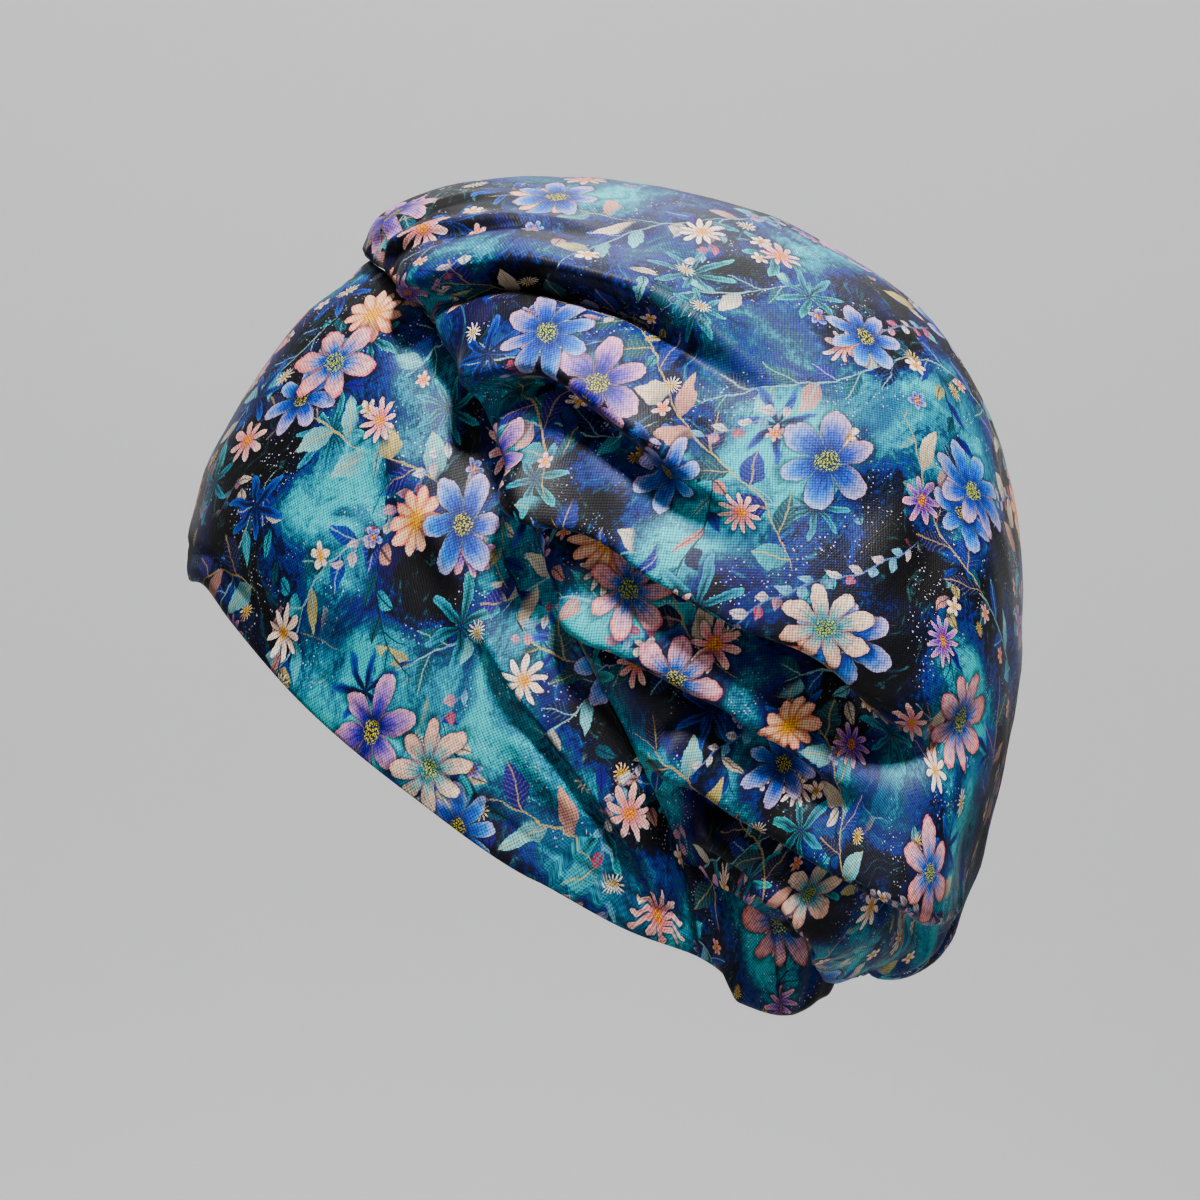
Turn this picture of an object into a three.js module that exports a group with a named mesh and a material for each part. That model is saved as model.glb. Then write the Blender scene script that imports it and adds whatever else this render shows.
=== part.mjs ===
// Bouffant scrub cap in its worn form: a fitted front band, a full gathered crown and a nape casing.
// Millimetres, +Z up. The wearer faces -Y and the wearer's left is +X. The origin is the top of the head.

import * as THREE from 'three';

// Cloth. Each wall is the cotton with its turned edges.
const CROWN_WALL = 1.5;
const BAND_WALL = 2;
const CASING_WALL = 2.4;
const SEAM_GAP = 0.5; // between two sewn pieces
const CORNER_GAP = 0.6; // added to it towards the corners where all three pieces meet
const RUFFLE_GAP = 0.3; // added to it along the ruffled casing

// Cells of each wall: across, from one side of the head to the other, and up or along.
const CROWN_CELLS = { across: 64, along: 28 };
const BAND_CELLS = { across: 64, up: 5 };
const CASING_CELLS = { across: 52, up: 3 };
const END_CELLS = 0.6; // how much closer the crown's cells are near its seams: 0 not at all, towards 1 very close

// What the fitted cloth lies on, as level sections: depth below the top of the head, the front and back Y, half the
// width. Below the brow only the back of a section is used, and its front mirrors it.
const HEAD = [
  { depth: 4, front: -31, back: 33, half: 27 },
  { depth: 9.5, front: -45.9, back: 49, half: 40 },
  { depth: 14.6, front: -52.5, back: 57, half: 47 },
  { depth: 26, front: -66, back: 71, half: 57 },
  { depth: 45, front: -80.2, back: 84, half: 67 },
  { depth: 62, front: -89.8, back: 92, half: 72.5 },
  { depth: 79, front: -95.5, back: 96, half: 75.5 },
  { depth: 90, front: -97.4, back: 97.5, half: 77 },
  { depth: 110, front: -95.5, back: 97, half: 77.5 },
  { depth: 130, front: -94, back: 95, half: 77 },
  { depth: 150, front: -90, back: 90, half: 75.5 },
  { depth: 170, front: -83, back: 83, half: 72.5 },
  { depth: 190, front: -76, back: 76, half: 67.5 },
  { depth: 205, front: -71, back: 71, half: 62.5 },
  { depth: 224, front: -69, back: 69, half: 57.5 },
];
const SECTION_POWER = 2.2; // 2 is an ellipse, and more is squarer
const SEAM_REACH = { front: 0.25, back: 0.8 }; // way up to which, and from which, the seams draw the crown to them
const EDGE_STEP = { side: 0.01, rise: 0.15 }; // steps along and down a sewn piece that give its edge's directions
const LAST_EDGE = 0.98; // side beyond which the edge's directions stay the same

// Band, from the middle of the forehead (side 0) to its end behind the ear (side 1). Angles are in degrees round the
// head from the middle of the forehead. The seam is its upper edge and joins the crown.
const BAND = mirrored([
  { side: 0, hemAngle: 0, hemZ: -98, seamAngle: 0, seamZ: -9.5 },
  { side: 0.125, hemAngle: 10.5, hemZ: -98.8, seamAngle: 26.6, seamZ: -12.7 },
  { side: 0.25, hemAngle: 21.5, hemZ: -101.5, seamAngle: 50.2, seamZ: -22.2 },
  { side: 0.375, hemAngle: 31, hemZ: -113.5, seamAngle: 65.4, seamZ: -37.7 },
  { side: 0.5, hemAngle: 41, hemZ: -126.5, seamAngle: 80.9, seamZ: -58.6 },
  { side: 0.625, hemAngle: 55, hemZ: -145, seamAngle: 88.8, seamZ: -84 },
  { side: 0.75, hemAngle: 69, hemZ: -162, seamAngle: 94.6, seamZ: -112.9 },
  { side: 0.875, hemAngle: 88.5, hemZ: -184, seamAngle: 105, seamZ: -144.3 },
  { side: 1, hemAngle: 126.5, hemZ: -202.5, seamAngle: 117.8, seamZ: -177 },
]);

// Nape casing, from the middle of the nape (side 0) to the band's end (side 1). Angles are in degrees round the head
// from the middle of the nape. Standoff is its distance from the neck.
const CASING = mirrored([
  { side: 0, topAngle: 0, topZ: -203, footAngle: 0, footZ: -213, standoff: 13 },
  { side: 0.3, topAngle: 24, topZ: -205, footAngle: 24, footZ: -219.5, standoff: 9 },
  { side: 0.6, topAngle: 42, topZ: -199.5, footAngle: 41, footZ: -213.5, standoff: 3 },
  { side: 0.8, topAngle: 53, topZ: -189.5, footAngle: 48, footZ: -207, standoff: 1 },
  { side: 1, topAngle: 62.2, topZ: -177, footAngle: 53.5, footZ: -202.5, standoff: 0 },
]);
const BACK_EDGE = 0.6; // side of the casing where the crown's back edge ends and its short side edge begins
const CORNER_RUN = 0.6; // under 1, the crown's lower corners leave the band's seam faster than its middle line does
const CASING_TRIM = 0.03; // part of each half of the casing left off, so that its ends stay clear of the band
// Ruffles along the casing: each is lower at the casing's top, and they die away from side `fadeFrom` to its ends.
const RUFFLE = { height: 1.5, count: 13, heightAtTop: 0.3, fadeFrom: 0.75 };

// Middle line of the crown, from the band's seam over the top and down the back to the casing. Bulge is how far the
// panel stands out sideways between the middle line and its two lower corners.
const CROWN = stations([
  { y: -45.9, z: -9.5, bulge: 31 },
  { y: -47.9, z: -4.2, bulge: 35 },
  { y: -42.3, z: 4.5, bulge: 38 },
  { y: -22.7, z: 12, bulge: 40 },
  { y: 1.1, z: 14.3, bulge: 41 },
  { y: 29.1, z: 12.3, bulge: 42 },
  { y: 62.7, z: 3.6, bulge: 43 },
  { y: 87.9, z: -9.5, bulge: 43 },
  { y: 107.5, z: -27.2, bulge: 42 },
  { y: 122.9, z: -52.4, bulge: 41 },
  { y: 132.7, z: -79, bulge: 41 },
  { y: 136.9, z: -114, bulge: 41 },
  { y: 134.1, z: -149, bulge: 40 },
  { y: 128.5, z: -171.4, bulge: 37 },
  { y: 122, z: -193, bulge: 33 },
  { y: 115, z: -206.5, bulge: 28 },
  { y: 103.3, z: -211.7, bulge: 22 },
  { y: 92, z: -208, bulge: 17 },
  { y: 84, z: -202.5, bulge: 13 },
]);

// Folds of the crown's left side. A crest is points [y, z] in side view, from the seam backwards. Above and below are
// how far the cloth slopes away from the crest on each side of it, and hollow is how deep it falls under the crest.
const FOLDS = [
  { name: 'front pleat', height: 2, above: 7, below: 6, hollow: 1.5,
    crest: [[-42, -2], [-32, 1], [-20, 3], [-4, 1], [10, -4]] },
  { name: 'top roll', height: 6, above: 13, below: 8, hollow: 7,
    crest: [[-39, -11], [-22, -9.5], [6, -11], [29, -13], [46, -17], [63, -26], [88, -46]] },
  { name: 'upper tube', height: 4, above: 10, below: 9, hollow: 4,
    crest: [[-18, -44], [-4, -42], [7, -43], [18, -47.5], [35, -56.5], [51.5, -68], [68, -73]] },
  { name: 'great swag', height: 9, above: 20, below: 11, hollow: 8,
    crest: [[-15, -50], [-7, -62], [7, -78], [24, -90], [40, -99], [57, -107], [82, -124], [102, -132],
      [116, -137]] },
  { name: 'back dent', height: -4, above: 12, below: 12, hollow: 0,
    crest: [[99, -146], [110, -146], [120, -140], [128, -132]] },
  { name: 'side tube', height: 4.5, above: 9, below: 9, hollow: 5,
    crest: [[5, -93], [12, -110], [24, -115], [46, -129], [68, -142], [94, -153], [108, -155]] },
  { name: 'lower swag', height: 5, above: 12, below: 9, hollow: 5,
    crest: [[33, -148], [46, -157], [63, -167], [80, -177], [96, -185], [112, -190]] },
  { name: 'nape swag', height: 4, above: 8, below: 8, hollow: 3,
    crest: [[43, -173], [57, -180], [74, -190], [94, -199], [110, -205]] },
];
const FAR_SIDE = { shiftY: 5, shiftZ: -4, height: 0.9 }; // the right side's folds against the left side's
const FOLD_SPREAD = 1.8; // the hollow is this much wider than the slope into it
const FOLD_START = 0.12; // part of a crest over which it rises from the seam
const FOLD_END = 0.3; // part of a crest over which it dies away
const CREST_POINTS = 40;
const GATHERS = { height: 1.3, count: 15, reach: 0.1 }; // along the band's seam, reach is a part of the middle line
const FOLD_EDGES = { seam: 0.05, casing: 0.93, corner: 0.9 }; // way and side where folds die away to the crown's edges
const RIDGE_BLEND = 0.08; // side over which the left folds give way to the right ones

// A table given for side 0 to 1, continued to side -1. Its angles change sign there.
function mirrored(rows) {
  const turns = (key) => key === 'side' || key.endsWith('Angle');
  const flip = (row) => Object.fromEntries(Object.entries(row).map(([key, x]) => [key, turns(key) ? -x : x]));
  return [...rows.slice(1).reverse().map(flip), ...rows];
}

// The crown's table with a column `way`, its place along the middle line: 0 at the band's seam and 1 at the casing.
function stations(rows) {
  let length = 0;
  const ways = rows.map((row, i) => (length += i ? Math.hypot(row.y - rows[i - 1].y, row.z - rows[i - 1].z) : 0));
  return rows.map((row, i) => ({ ...row, way: ways[i] / length }));
}

// Column `key` of a table where column `by` is x, by a smooth curve through the rows.
function column(rows, by, key, x) {
  const last = rows.length - 1;
  const next = rows.findIndex((row) => row[by] > x);
  const i = Math.max(0, next < 0 ? last - 1 : next - 1);
  const slope = (a, b) => (rows[b][key] - rows[a][key]) / (rows[b][by] - rows[a][by]);
  const tangent = (k) => slope(Math.max(0, k - 1), Math.min(last, k + 1));
  const span = rows[i + 1][by] - rows[i][by];
  const t = (x - rows[i][by]) / span;
  const ends = (1 + 2 * t) * (1 - t) ** 2 * rows[i][key] + t * t * (3 - 2 * t) * rows[i + 1][key];
  return ends + t * (1 - t) ** 2 * span * tangent(i) + t * t * (t - 1) * span * tangent(i + 1);
}

function smooth(edge0, edge1, x) {
  return THREE.MathUtils.smoothstep(x, edge0, edge1);
}

// Point at an angle in degrees round the head, from the forehead towards +X, at height z and moved out by `off`.
function onHead(angle, z, off = 0) {
  const section = (key) => column(HEAD, 'depth', key, -z);
  const bend = (value) => Math.sign(value) * Math.abs(value) ** (2 / SECTION_POWER);
  const middle = (section('front') + section('back')) / 2;
  const length = (section('back') - section('front')) / 2 + off;
  const turn = THREE.MathUtils.degToRad(angle);
  return new THREE.Vector3((section('half') + off) * bend(Math.sin(turn)), middle - length * bend(Math.cos(turn)), z);
}

// Angle and height between a table's lower edge, named `low`, and its upper edge, named `high`.
function between(rows, side, low, high, rise) {
  const at = (key) => column(rows, 'side', key, side);
  const mix = (kind) => THREE.MathUtils.lerp(at(low + kind), at(high + kind), rise);
  return { angle: mix('Angle'), z: mix('Z') };
}

// Band at side -1 to 1 and rise 0 (hem) to 1 (seam).
function bandPoint(side, rise) {
  const place = between(BAND, side, 'hem', 'seam', rise);
  return onHead(place.angle, place.z);
}

// Casing at side -1 to 1 and rise 0 (foot) to 1 (top).
function casingPoint(side, rise) {
  const place = between(CASING, side, 'foot', 'top', rise);
  const fade = (1 - smooth(RUFFLE.fadeFrom, 1, Math.abs(side))) * THREE.MathUtils.lerp(1, RUFFLE.heightAtTop, rise);
  const ruffle = RUFFLE.height * fade * Math.cos(RUFFLE.count * Math.PI * side);
  return onHead(180 - place.angle, place.z, column(CASING, 'side', 'standoff', side) + ruffle);
}

// Upper edge of a piece that the crown is sewn on: the point, and the directions off its edge and out of its face.
function edgeOf(piece, side) {
  const point = piece(side, 1);
  const run = piece(side + EDGE_STEP.side, 1).sub(piece(side - EDGE_STEP.side, 1)).normalize();
  const off = point.clone().sub(piece(side, 1 - EDGE_STEP.rise));
  off.addScaledVector(run, -off.dot(run)).normalize();
  return { point, off, out: run.cross(off) };
}

// Points of the crown's edge, moved off the sewn piece by the gap.
function onBandSeam(side) {
  const edge = edgeOf(bandPoint, THREE.MathUtils.clamp(side, -LAST_EDGE, LAST_EDGE));
  const gap = SEAM_GAP + CORNER_GAP * smooth(0.8, 1, Math.abs(side));
  return bandPoint(side, 1).addScaledVector(edge.off, gap);
}

function onCasingSeam(side) {
  const edge = edgeOf(casingPoint, THREE.MathUtils.clamp(side, -LAST_EDGE, LAST_EDGE));
  return casingPoint(side, 1).addScaledVector(edge.off, SEAM_GAP + RUFFLE_GAP);
}

// One bow of the crown, at side -1 to 1: it rises from a lower corner to the middle line and falls to the other.
function bow(side, way) {
  const at = (key) => column(CROWN, 'way', key, way);
  const corner = onCasingSeam(Math.sign(side || 1) * THREE.MathUtils.lerp(1, BACK_EDGE, way ** CORNER_RUN));
  const rise = Math.cos((side * Math.PI) / 2);
  const spread = Math.abs(Math.sin((side * Math.PI) / 2));
  return new THREE.Vector3(
    corner.x * spread + at('bulge') * Math.sin(Math.PI * side),
    THREE.MathUtils.lerp(corner.y, at('y'), rise),
    THREE.MathUtils.lerp(corner.z, at('z'), rise),
  );
}

// Crown without its folds: its bows, drawn to the band's seam at the front and to the casing at the back.
function smoothCrown(side, way) {
  const point = bow(side, way);
  const front = (1 - smooth(0, SEAM_REACH.front, way)) ** 2;
  const back = smooth(SEAM_REACH.back, 1, way) ** 2;
  point.addScaledVector(onBandSeam(side).sub(bow(side, 0)), front);
  return point.addScaledVector(onCasingSeam(side * BACK_EDGE).sub(bow(side, 1)), back);
}

// Grid of points of a surface over side -1 to 1 and way 0 to 1, by rows of equal way.
function gridOf(surface, across, along, spacing = (t) => t) {
  return Array.from({ length: along + 1 }, (_, j) =>
    Array.from({ length: across + 1 }, (_, i) => surface((2 * i) / across - 1, spacing(j / along))));
}

// Directions out of a grid's surface, for rows that run to the wearer's left and follow each other upwards.
function normalsOf(grid) {
  const [lastRow, last] = [grid.length - 1, grid[0].length - 1];
  return grid.map((row, j) => row.map((_, i) => {
    const across = row[Math.min(last, i + 1)].clone().sub(row[Math.max(0, i - 1)]);
    const along = grid[Math.min(lastRow, j + 1)][i].clone().sub(grid[Math.max(0, j - 1)][i]);
    return across.cross(along).normalize();
  }));
}

// Crest of a fold in space: its side view, laid on the smooth crown's left or right (+1 or -1).
function crestOf(fold, hand, cloth) {
  const shift = hand > 0 ? [0, 0] : [FAR_SIDE.shiftY, FAR_SIDE.shiftZ];
  const sideView = new THREE.CatmullRomCurve3(
    fold.crest.map(([y, z]) => new THREE.Vector3(0, y + shift[0], z + shift[1])));
  const onCloth = (point) => {
    let [sum, weights] = [0, 0];
    for (const p of cloth) {
      if (p.x * hand < 0) continue;
      const weight = 1 / ((p.y - point.y) ** 2 + (p.z - point.z) ** 2 + 0.1) ** 3;
      sum += weight * p.x;
      weights += weight;
    }
    return point.setX(sum / weights);
  };
  return sideView.getPoints(CREST_POINTS).map(onCloth);
}

// Height of one fold at a point of the smooth crown whose normal is given.
function foldHeight(fold, crest, hand, point, normal) {
  let nearest = { far: Infinity };
  crest.slice(1).forEach((end, i) => {
    const segment = new THREE.Line3(crest[i], end);
    const t = segment.closestPointToPointParameter(point, true);
    const foot = segment.at(t, new THREE.Vector3());
    const far = foot.distanceTo(point);
    if (far >= nearest.far) return;
    nearest = { far, foot, place: (i + t) / CREST_POINTS, run: segment.delta(new THREE.Vector3()) };
  });
  const uphill = normal.clone().cross(nearest.run).multiplyScalar(hand);
  const above = point.clone().sub(nearest.foot).dot(uphill) > 0;
  const bell = (width) => Math.exp(-((nearest.far / width) ** 2));
  const slope = above
    ? fold.height * bell(fold.above)
    : (fold.height + fold.hollow) * bell(fold.below) - fold.hollow * bell(FOLD_SPREAD * fold.below);
  const ends = smooth(0, FOLD_START, nearest.place) * (1 - smooth(1 - FOLD_END, 1, nearest.place));
  return slope * ends;
}

// Where the crown's rows lie along its middle line: closer together near its two seams.
function crownSpacing(t) {
  return t - (END_CELLS * Math.sin(2 * Math.PI * t)) / (2 * Math.PI);
}

// Crown's outer surface: the smooth crown with its folds and gathers pushed out of it.
function crownGrid() {
  const { across, along } = CROWN_CELLS;
  const grid = gridOf(smoothCrown, across, along, crownSpacing);
  const normals = normalsOf(grid);
  const cloth = gridOf(smoothCrown, 3 * across, 3 * along, crownSpacing).flat();
  const crests = FOLDS.map((fold) => ({ fold, left: crestOf(fold, 1, cloth), right: crestOf(fold, -1, cloth) }));
  return grid.map((row, j) => row.map((point, i) => {
    const side = (2 * i) / across - 1;
    const way = crownSpacing(j / along);
    const normal = normals[j][i];
    const fade = smooth(0, FOLD_EDGES.seam, way) * (1 - smooth(FOLD_EDGES.casing, 1, way))
      * (1 - smooth(FOLD_EDGES.corner, 1, Math.abs(side)));
    const left = smooth(-RIDGE_BLEND, RIDGE_BLEND, side);
    const folds = crests.reduce((sum, crest) => sum
      + left * foldHeight(crest.fold, crest.left, 1, point, normal)
      + (1 - left) * FAR_SIDE.height * foldHeight(crest.fold, crest.right, -1, point, normal), 0);
    const wave = Math.cos(2 * GATHERS.count * Math.PI * side);
    const gathers = GATHERS.height * (1 - smooth(0, GATHERS.reach, way)) * wave;
    return point.clone().addScaledVector(normal, fade * (folds + gathers));
  }));
}

// Closed wall between an outer grid of points and the same points moved in by the thickness.
function wall(name, outer, inward, thickness, material) {
  const [rows, columns] = [outer.length, outer[0].length];
  const inner = outer.map((row, j) => row.map((p, i) => p.clone().addScaledVector(inward[j][i], -thickness)));
  const points = [...outer.flat(), ...inner.flat()];
  const count = rows * columns;
  const faces = [];
  const apart = (a, b) => points[a % count].distanceTo(points[b % count]); // on the outer surface
  const quad = (a, b, c, d) => faces.push(...(apart(a, c) < apart(b, d) ? [a, b, c, a, c, d] : [b, c, d, b, d, a]));
  const out = (j, i) => j * columns + i;
  const into = (j, i) => count + out(j, i);
  for (let j = 0; j < rows - 1; j++) {
    for (let i = 0; i < columns - 1; i++) {
      quad(out(j, i), out(j, i + 1), out(j + 1, i + 1), out(j + 1, i));
      quad(into(j, i), into(j + 1, i), into(j + 1, i + 1), into(j, i + 1));
    }
  }
  for (let i = 0; i < columns - 1; i++) {
    quad(out(0, i), into(0, i), into(0, i + 1), out(0, i + 1));
    quad(out(rows - 1, i), out(rows - 1, i + 1), into(rows - 1, i + 1), into(rows - 1, i));
  }
  for (let j = 0; j < rows - 1; j++) {
    quad(out(j, 0), out(j + 1, 0), into(j + 1, 0), into(j, 0));
    quad(out(j, columns - 1), into(j, columns - 1), into(j + 1, columns - 1), out(j + 1, columns - 1));
  }
  const geometry = new THREE.BufferGeometry().setFromPoints(points);
  geometry.setIndex(faces);
  geometry.computeVertexNormals();
  const mesh = new THREE.Mesh(geometry, material);
  mesh.name = name;
  return mesh;
}

function band() {
  const outer = gridOf(bandPoint, BAND_CELLS.across, BAND_CELLS.up);
  const cloth = new THREE.MeshStandardMaterial({ color: 0x2a5f8f, roughness: 0.6, metalness: 0 });
  return wall('band', outer, normalsOf(outer), BAND_WALL, cloth);
}

function napeCasing() {
  const surface = (side, rise) => casingPoint(-side * (1 - CASING_TRIM), rise);
  const outer = gridOf(surface, CASING_CELLS.across, CASING_CELLS.up);
  const cloth = new THREE.MeshStandardMaterial({ color: 0x274a7d, roughness: 0.65, metalness: 0 });
  return wall('nape_casing', outer, normalsOf(outer), CASING_WALL, cloth);
}

// The crown's edges are square to the pieces that they are sewn on, so that the two edges face each other.
function crown() {
  const outer = crownGrid();
  const inward = normalsOf(outer);
  const [lastRow, last] = [outer.length - 1, outer[0].length - 1];
  for (let i = 0; i <= last; i++) {
    const side = LAST_EDGE * ((2 * i) / last - 1);
    inward[0][i] = edgeOf(bandPoint, side).out;
    inward[lastRow][i] = edgeOf(casingPoint, side * BACK_EDGE).out.negate();
  }
  for (let j = 1; j < lastRow; j++) {
    const side = THREE.MathUtils.lerp(LAST_EDGE, BACK_EDGE, crownSpacing(j / lastRow) ** CORNER_RUN);
    inward[j][0] = edgeOf(casingPoint, -side).out.negate();
    inward[j][last] = edgeOf(casingPoint, side).out.negate();
  }
  const cloth = new THREE.MeshStandardMaterial({ color: 0x1f3f78, roughness: 0.6, metalness: 0 });
  return wall('crown', outer, inward, CROWN_WALL, cloth);
}

const cap = new THREE.Group();
cap.name = 'bouffant_scrub_cap';
cap.add(band(), crown(), napeCasing());

export default cap;
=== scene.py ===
"""Bouffant scrub cap in its worn form: a fitted band, a full gathered crown and a ruffled nape casing.

Lengths are worked out in millimetres and brought to the frame's metres when a mesh is made. The wearer faces
-Y, the wearer's left is +X, +Z is up, and the origin is the top of the head.
"""

from __future__ import annotations

import logging
import math
from dataclasses import dataclass
from enum import Enum
from typing import Any, Callable, Sequence

import bpy
import numpy as np
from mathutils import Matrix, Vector

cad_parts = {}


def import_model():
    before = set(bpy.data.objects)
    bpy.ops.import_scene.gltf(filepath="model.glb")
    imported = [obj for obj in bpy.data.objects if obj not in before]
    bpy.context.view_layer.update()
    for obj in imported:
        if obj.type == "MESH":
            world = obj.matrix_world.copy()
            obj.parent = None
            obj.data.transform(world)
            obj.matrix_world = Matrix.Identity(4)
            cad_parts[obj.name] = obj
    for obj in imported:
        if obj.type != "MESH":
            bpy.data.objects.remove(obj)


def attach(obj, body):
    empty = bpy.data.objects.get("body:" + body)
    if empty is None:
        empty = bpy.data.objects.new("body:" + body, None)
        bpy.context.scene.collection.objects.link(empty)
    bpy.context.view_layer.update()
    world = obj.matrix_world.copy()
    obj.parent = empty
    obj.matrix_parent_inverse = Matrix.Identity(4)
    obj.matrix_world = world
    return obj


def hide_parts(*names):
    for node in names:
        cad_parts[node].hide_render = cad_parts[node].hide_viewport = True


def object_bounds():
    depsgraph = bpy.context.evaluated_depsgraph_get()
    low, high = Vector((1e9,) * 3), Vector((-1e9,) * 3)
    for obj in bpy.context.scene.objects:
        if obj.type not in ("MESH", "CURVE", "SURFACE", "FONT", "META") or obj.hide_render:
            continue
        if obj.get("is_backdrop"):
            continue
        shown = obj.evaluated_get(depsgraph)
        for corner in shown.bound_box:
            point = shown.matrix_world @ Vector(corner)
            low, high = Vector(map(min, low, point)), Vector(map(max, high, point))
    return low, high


log = logging.getLogger("scrub_cap")

MM = 0.001
BODY = "root"

Array = np.ndarray


# ---------------------------------------------------------------- tables and small curves


@dataclass(frozen=True)
class Table:
    """Rows of numbers with named columns, read along the first column by a smooth curve through the rows."""

    names: tuple[str, ...]
    rows: tuple[tuple[float, ...], ...]

    def column(self, name: str) -> Array:
        """One column as an array."""
        return np.array([row[self.names.index(name)] for row in self.rows], float)

    def at(self, name: str, x: Array) -> Array:
        """Cubic through the rows, which passes each row at the mean slope of its neighbours.

        Args:
            name: The column to read.
            x: Places along the first column.

        Returns:
            The column's values there, in x's shape.
        """
        places, values = self.column(self.names[0]), self.column(name)
        x = np.asarray(x, float)
        slopes = np.empty_like(values)
        slopes[1:-1] = (values[2:] - values[:-2]) / (places[2:] - places[:-2])
        slopes[0] = (values[1] - values[0]) / (places[1] - places[0])
        slopes[-1] = (values[-1] - values[-2]) / (places[-1] - places[-2])
        i = np.clip(np.searchsorted(places, x, side="right") - 1, 0, len(places) - 2)
        span = places[i + 1] - places[i]
        t = (x - places[i]) / span
        ends = (1 + 2 * t) * (1 - t) ** 2 * values[i] + t * t * (3 - 2 * t) * values[i + 1]
        return ends + span * (t * (1 - t) ** 2 * slopes[i] + t * t * (t - 1) * slopes[i + 1])

    def mirrored(self) -> Table:
        """The table continued to negative places, where its first column and angle columns change sign."""
        turns = [n == self.names[0] or n.endswith("angle") for n in self.names]
        flipped = [tuple(-v if turn else v for v, turn in zip(row, turns)) for row in self.rows[:0:-1]]
        return Table(self.names, tuple(flipped) + self.rows)


def smooth(low: float, high: float, x: Array) -> Array:
    """Smooth step: 0 up to low, 1 from high, and an S curve between them."""
    t = np.clip((np.asarray(x, float) - low) / (high - low), 0, 1)
    return t * t * (3 - 2 * t)


def ridge(x: Array, middle: Array | float, width: float) -> Array:
    """Bell curve: 1 at the middle, about a third at the width from it, and near 0 beyond twice that."""
    return np.exp(-(((x - middle) / width) ** 2))


def unit(v: Array) -> Array:
    """Vectors of an array brought to length 1."""
    return v / np.maximum(np.linalg.norm(v, axis=-1, keepdims=True), 1e-12)


def normals_of(grid: Array) -> Array:
    """Unit normals of a grid of points: cross products of its central differences along columns and rows."""
    return unit(np.cross(np.gradient(grid, axis=1), np.gradient(grid, axis=0)))


def curve_through(points: Sequence[Sequence[float]], count: int) -> Array:
    """Smooth curve through points, evenly spaced by the points' own distances.

    Args:
        points: Two or more points of any dimension.
        count: How many samples to give.

    Returns:
        An array of count samples.
    """
    points = np.array(points, float)
    way = np.r_[0, np.cumsum(np.linalg.norm(np.diff(points, axis=0), axis=1))]
    table = Table(("way",) + tuple("abcdef"[: points.shape[1]]), tuple(map(tuple, np.c_[way, points])))
    at = np.linspace(0, way[-1], count)
    return np.stack([table.at(name, at) for name in table.names[1:]], -1)


def softened(grid: Array, across: int, along: int) -> Array:
    """Softens a grid of points: each moves to the mean of its two neighbours and twice itself.

    Args:
        grid: Points by rows.
        across: Rounds along the rows, which leave the whole border alone.
        along: Rounds along the columns, which leave the first and the last row alone.

    Returns:
        The softened grid.
    """
    grid = grid.copy()
    for _ in range(across):
        grid[1:-1, 1:-1] = (grid[1:-1, :-2] + 2 * grid[1:-1, 1:-1] + grid[1:-1, 2:]) / 4
    for _ in range(along):
        grid[1:-1] = (grid[:-2] + 2 * grid[1:-1] + grid[2:]) / 4
    return grid


class Waves:
    """Soft random relief: a sum of plane waves, whose lengths, directions and phases come from a seed."""

    def __init__(
        self, seed: int, shortest: float, longest: float, dimensions: int = 3, count: int = 28
    ) -> None:
        """Draws the waves.

        Args:
            seed: Seed of the draw.
            shortest: Shortest wave, in the units that the relief is read in.
            longest: Longest wave.
            dimensions: Number of coordinates that a point has.
            count: Number of waves.
        """
        rng = np.random.default_rng(seed)
        lengths = np.exp(rng.uniform(math.log(shortest), math.log(longest), count))
        self.pull = unit(rng.normal(size=(count, dimensions))) * (2 * math.pi / lengths)[:, None]
        self.phase = rng.uniform(0, 2 * math.pi, count)
        self.height = (lengths / lengths.max()) ** 0.5
        self.height /= np.sqrt((self.height**2).sum() / 2)

    def at(self, points: Array) -> Array:
        """Relief at points, with a standard deviation of about 1."""
        return np.sin(points @ self.pull.T + self.phase) @ self.height


# ---------------------------------------------------------------- the form the cap is worn on


HEAD = Table(
    ("depth", "front", "back", "half"),
    (
        (4, -31, 33, 27),
        (9.5, -45.9, 49, 40),
        (14.6, -52.5, 57, 47),
        (26, -66, 71, 57),
        (45, -80.2, 84, 67),
        (62, -89.8, 92, 72.5),
        (79, -95.5, 96, 75.5),
        (90, -97.4, 97.5, 77),
        (110, -95.5, 97, 77.5),
        (130, -94, 95, 77),
        (150, -90, 90, 75.5),
        (170, -83, 83, 72.5),
        (190, -76, 76, 67.5),
        (205, -71, 71, 62.5),
        (224, -69, 69, 57.5),
    ),
)
SECTION_POWER = 2.2  # 2 is an ellipse, and more is squarer

BAND_EDGES = Table(
    ("side", "hem_angle", "hem_z", "seam_angle", "seam_z"),
    (
        (0, 0, -98, 0, -9.5),
        (0.125, 10.5, -98.6, 36, -12.9),
        (0.25, 21.5, -99.6, 59, -21.8),
        (0.375, 31, -108.6, 73, -34.5),
        (0.5, 41, -119.4, 82.5, -52.6),
        (0.625, 55, -136.4, 89.6, -80),
        (0.75, 69, -153, 94.8, -111),
        (0.875, 88.5, -175.8, 105, -142.5),
        (0.94, 106, -190.6, 111, -158),
        (1, 126.5, -199.8, 117.8, -173.5),
    ),
).mirrored()

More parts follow.
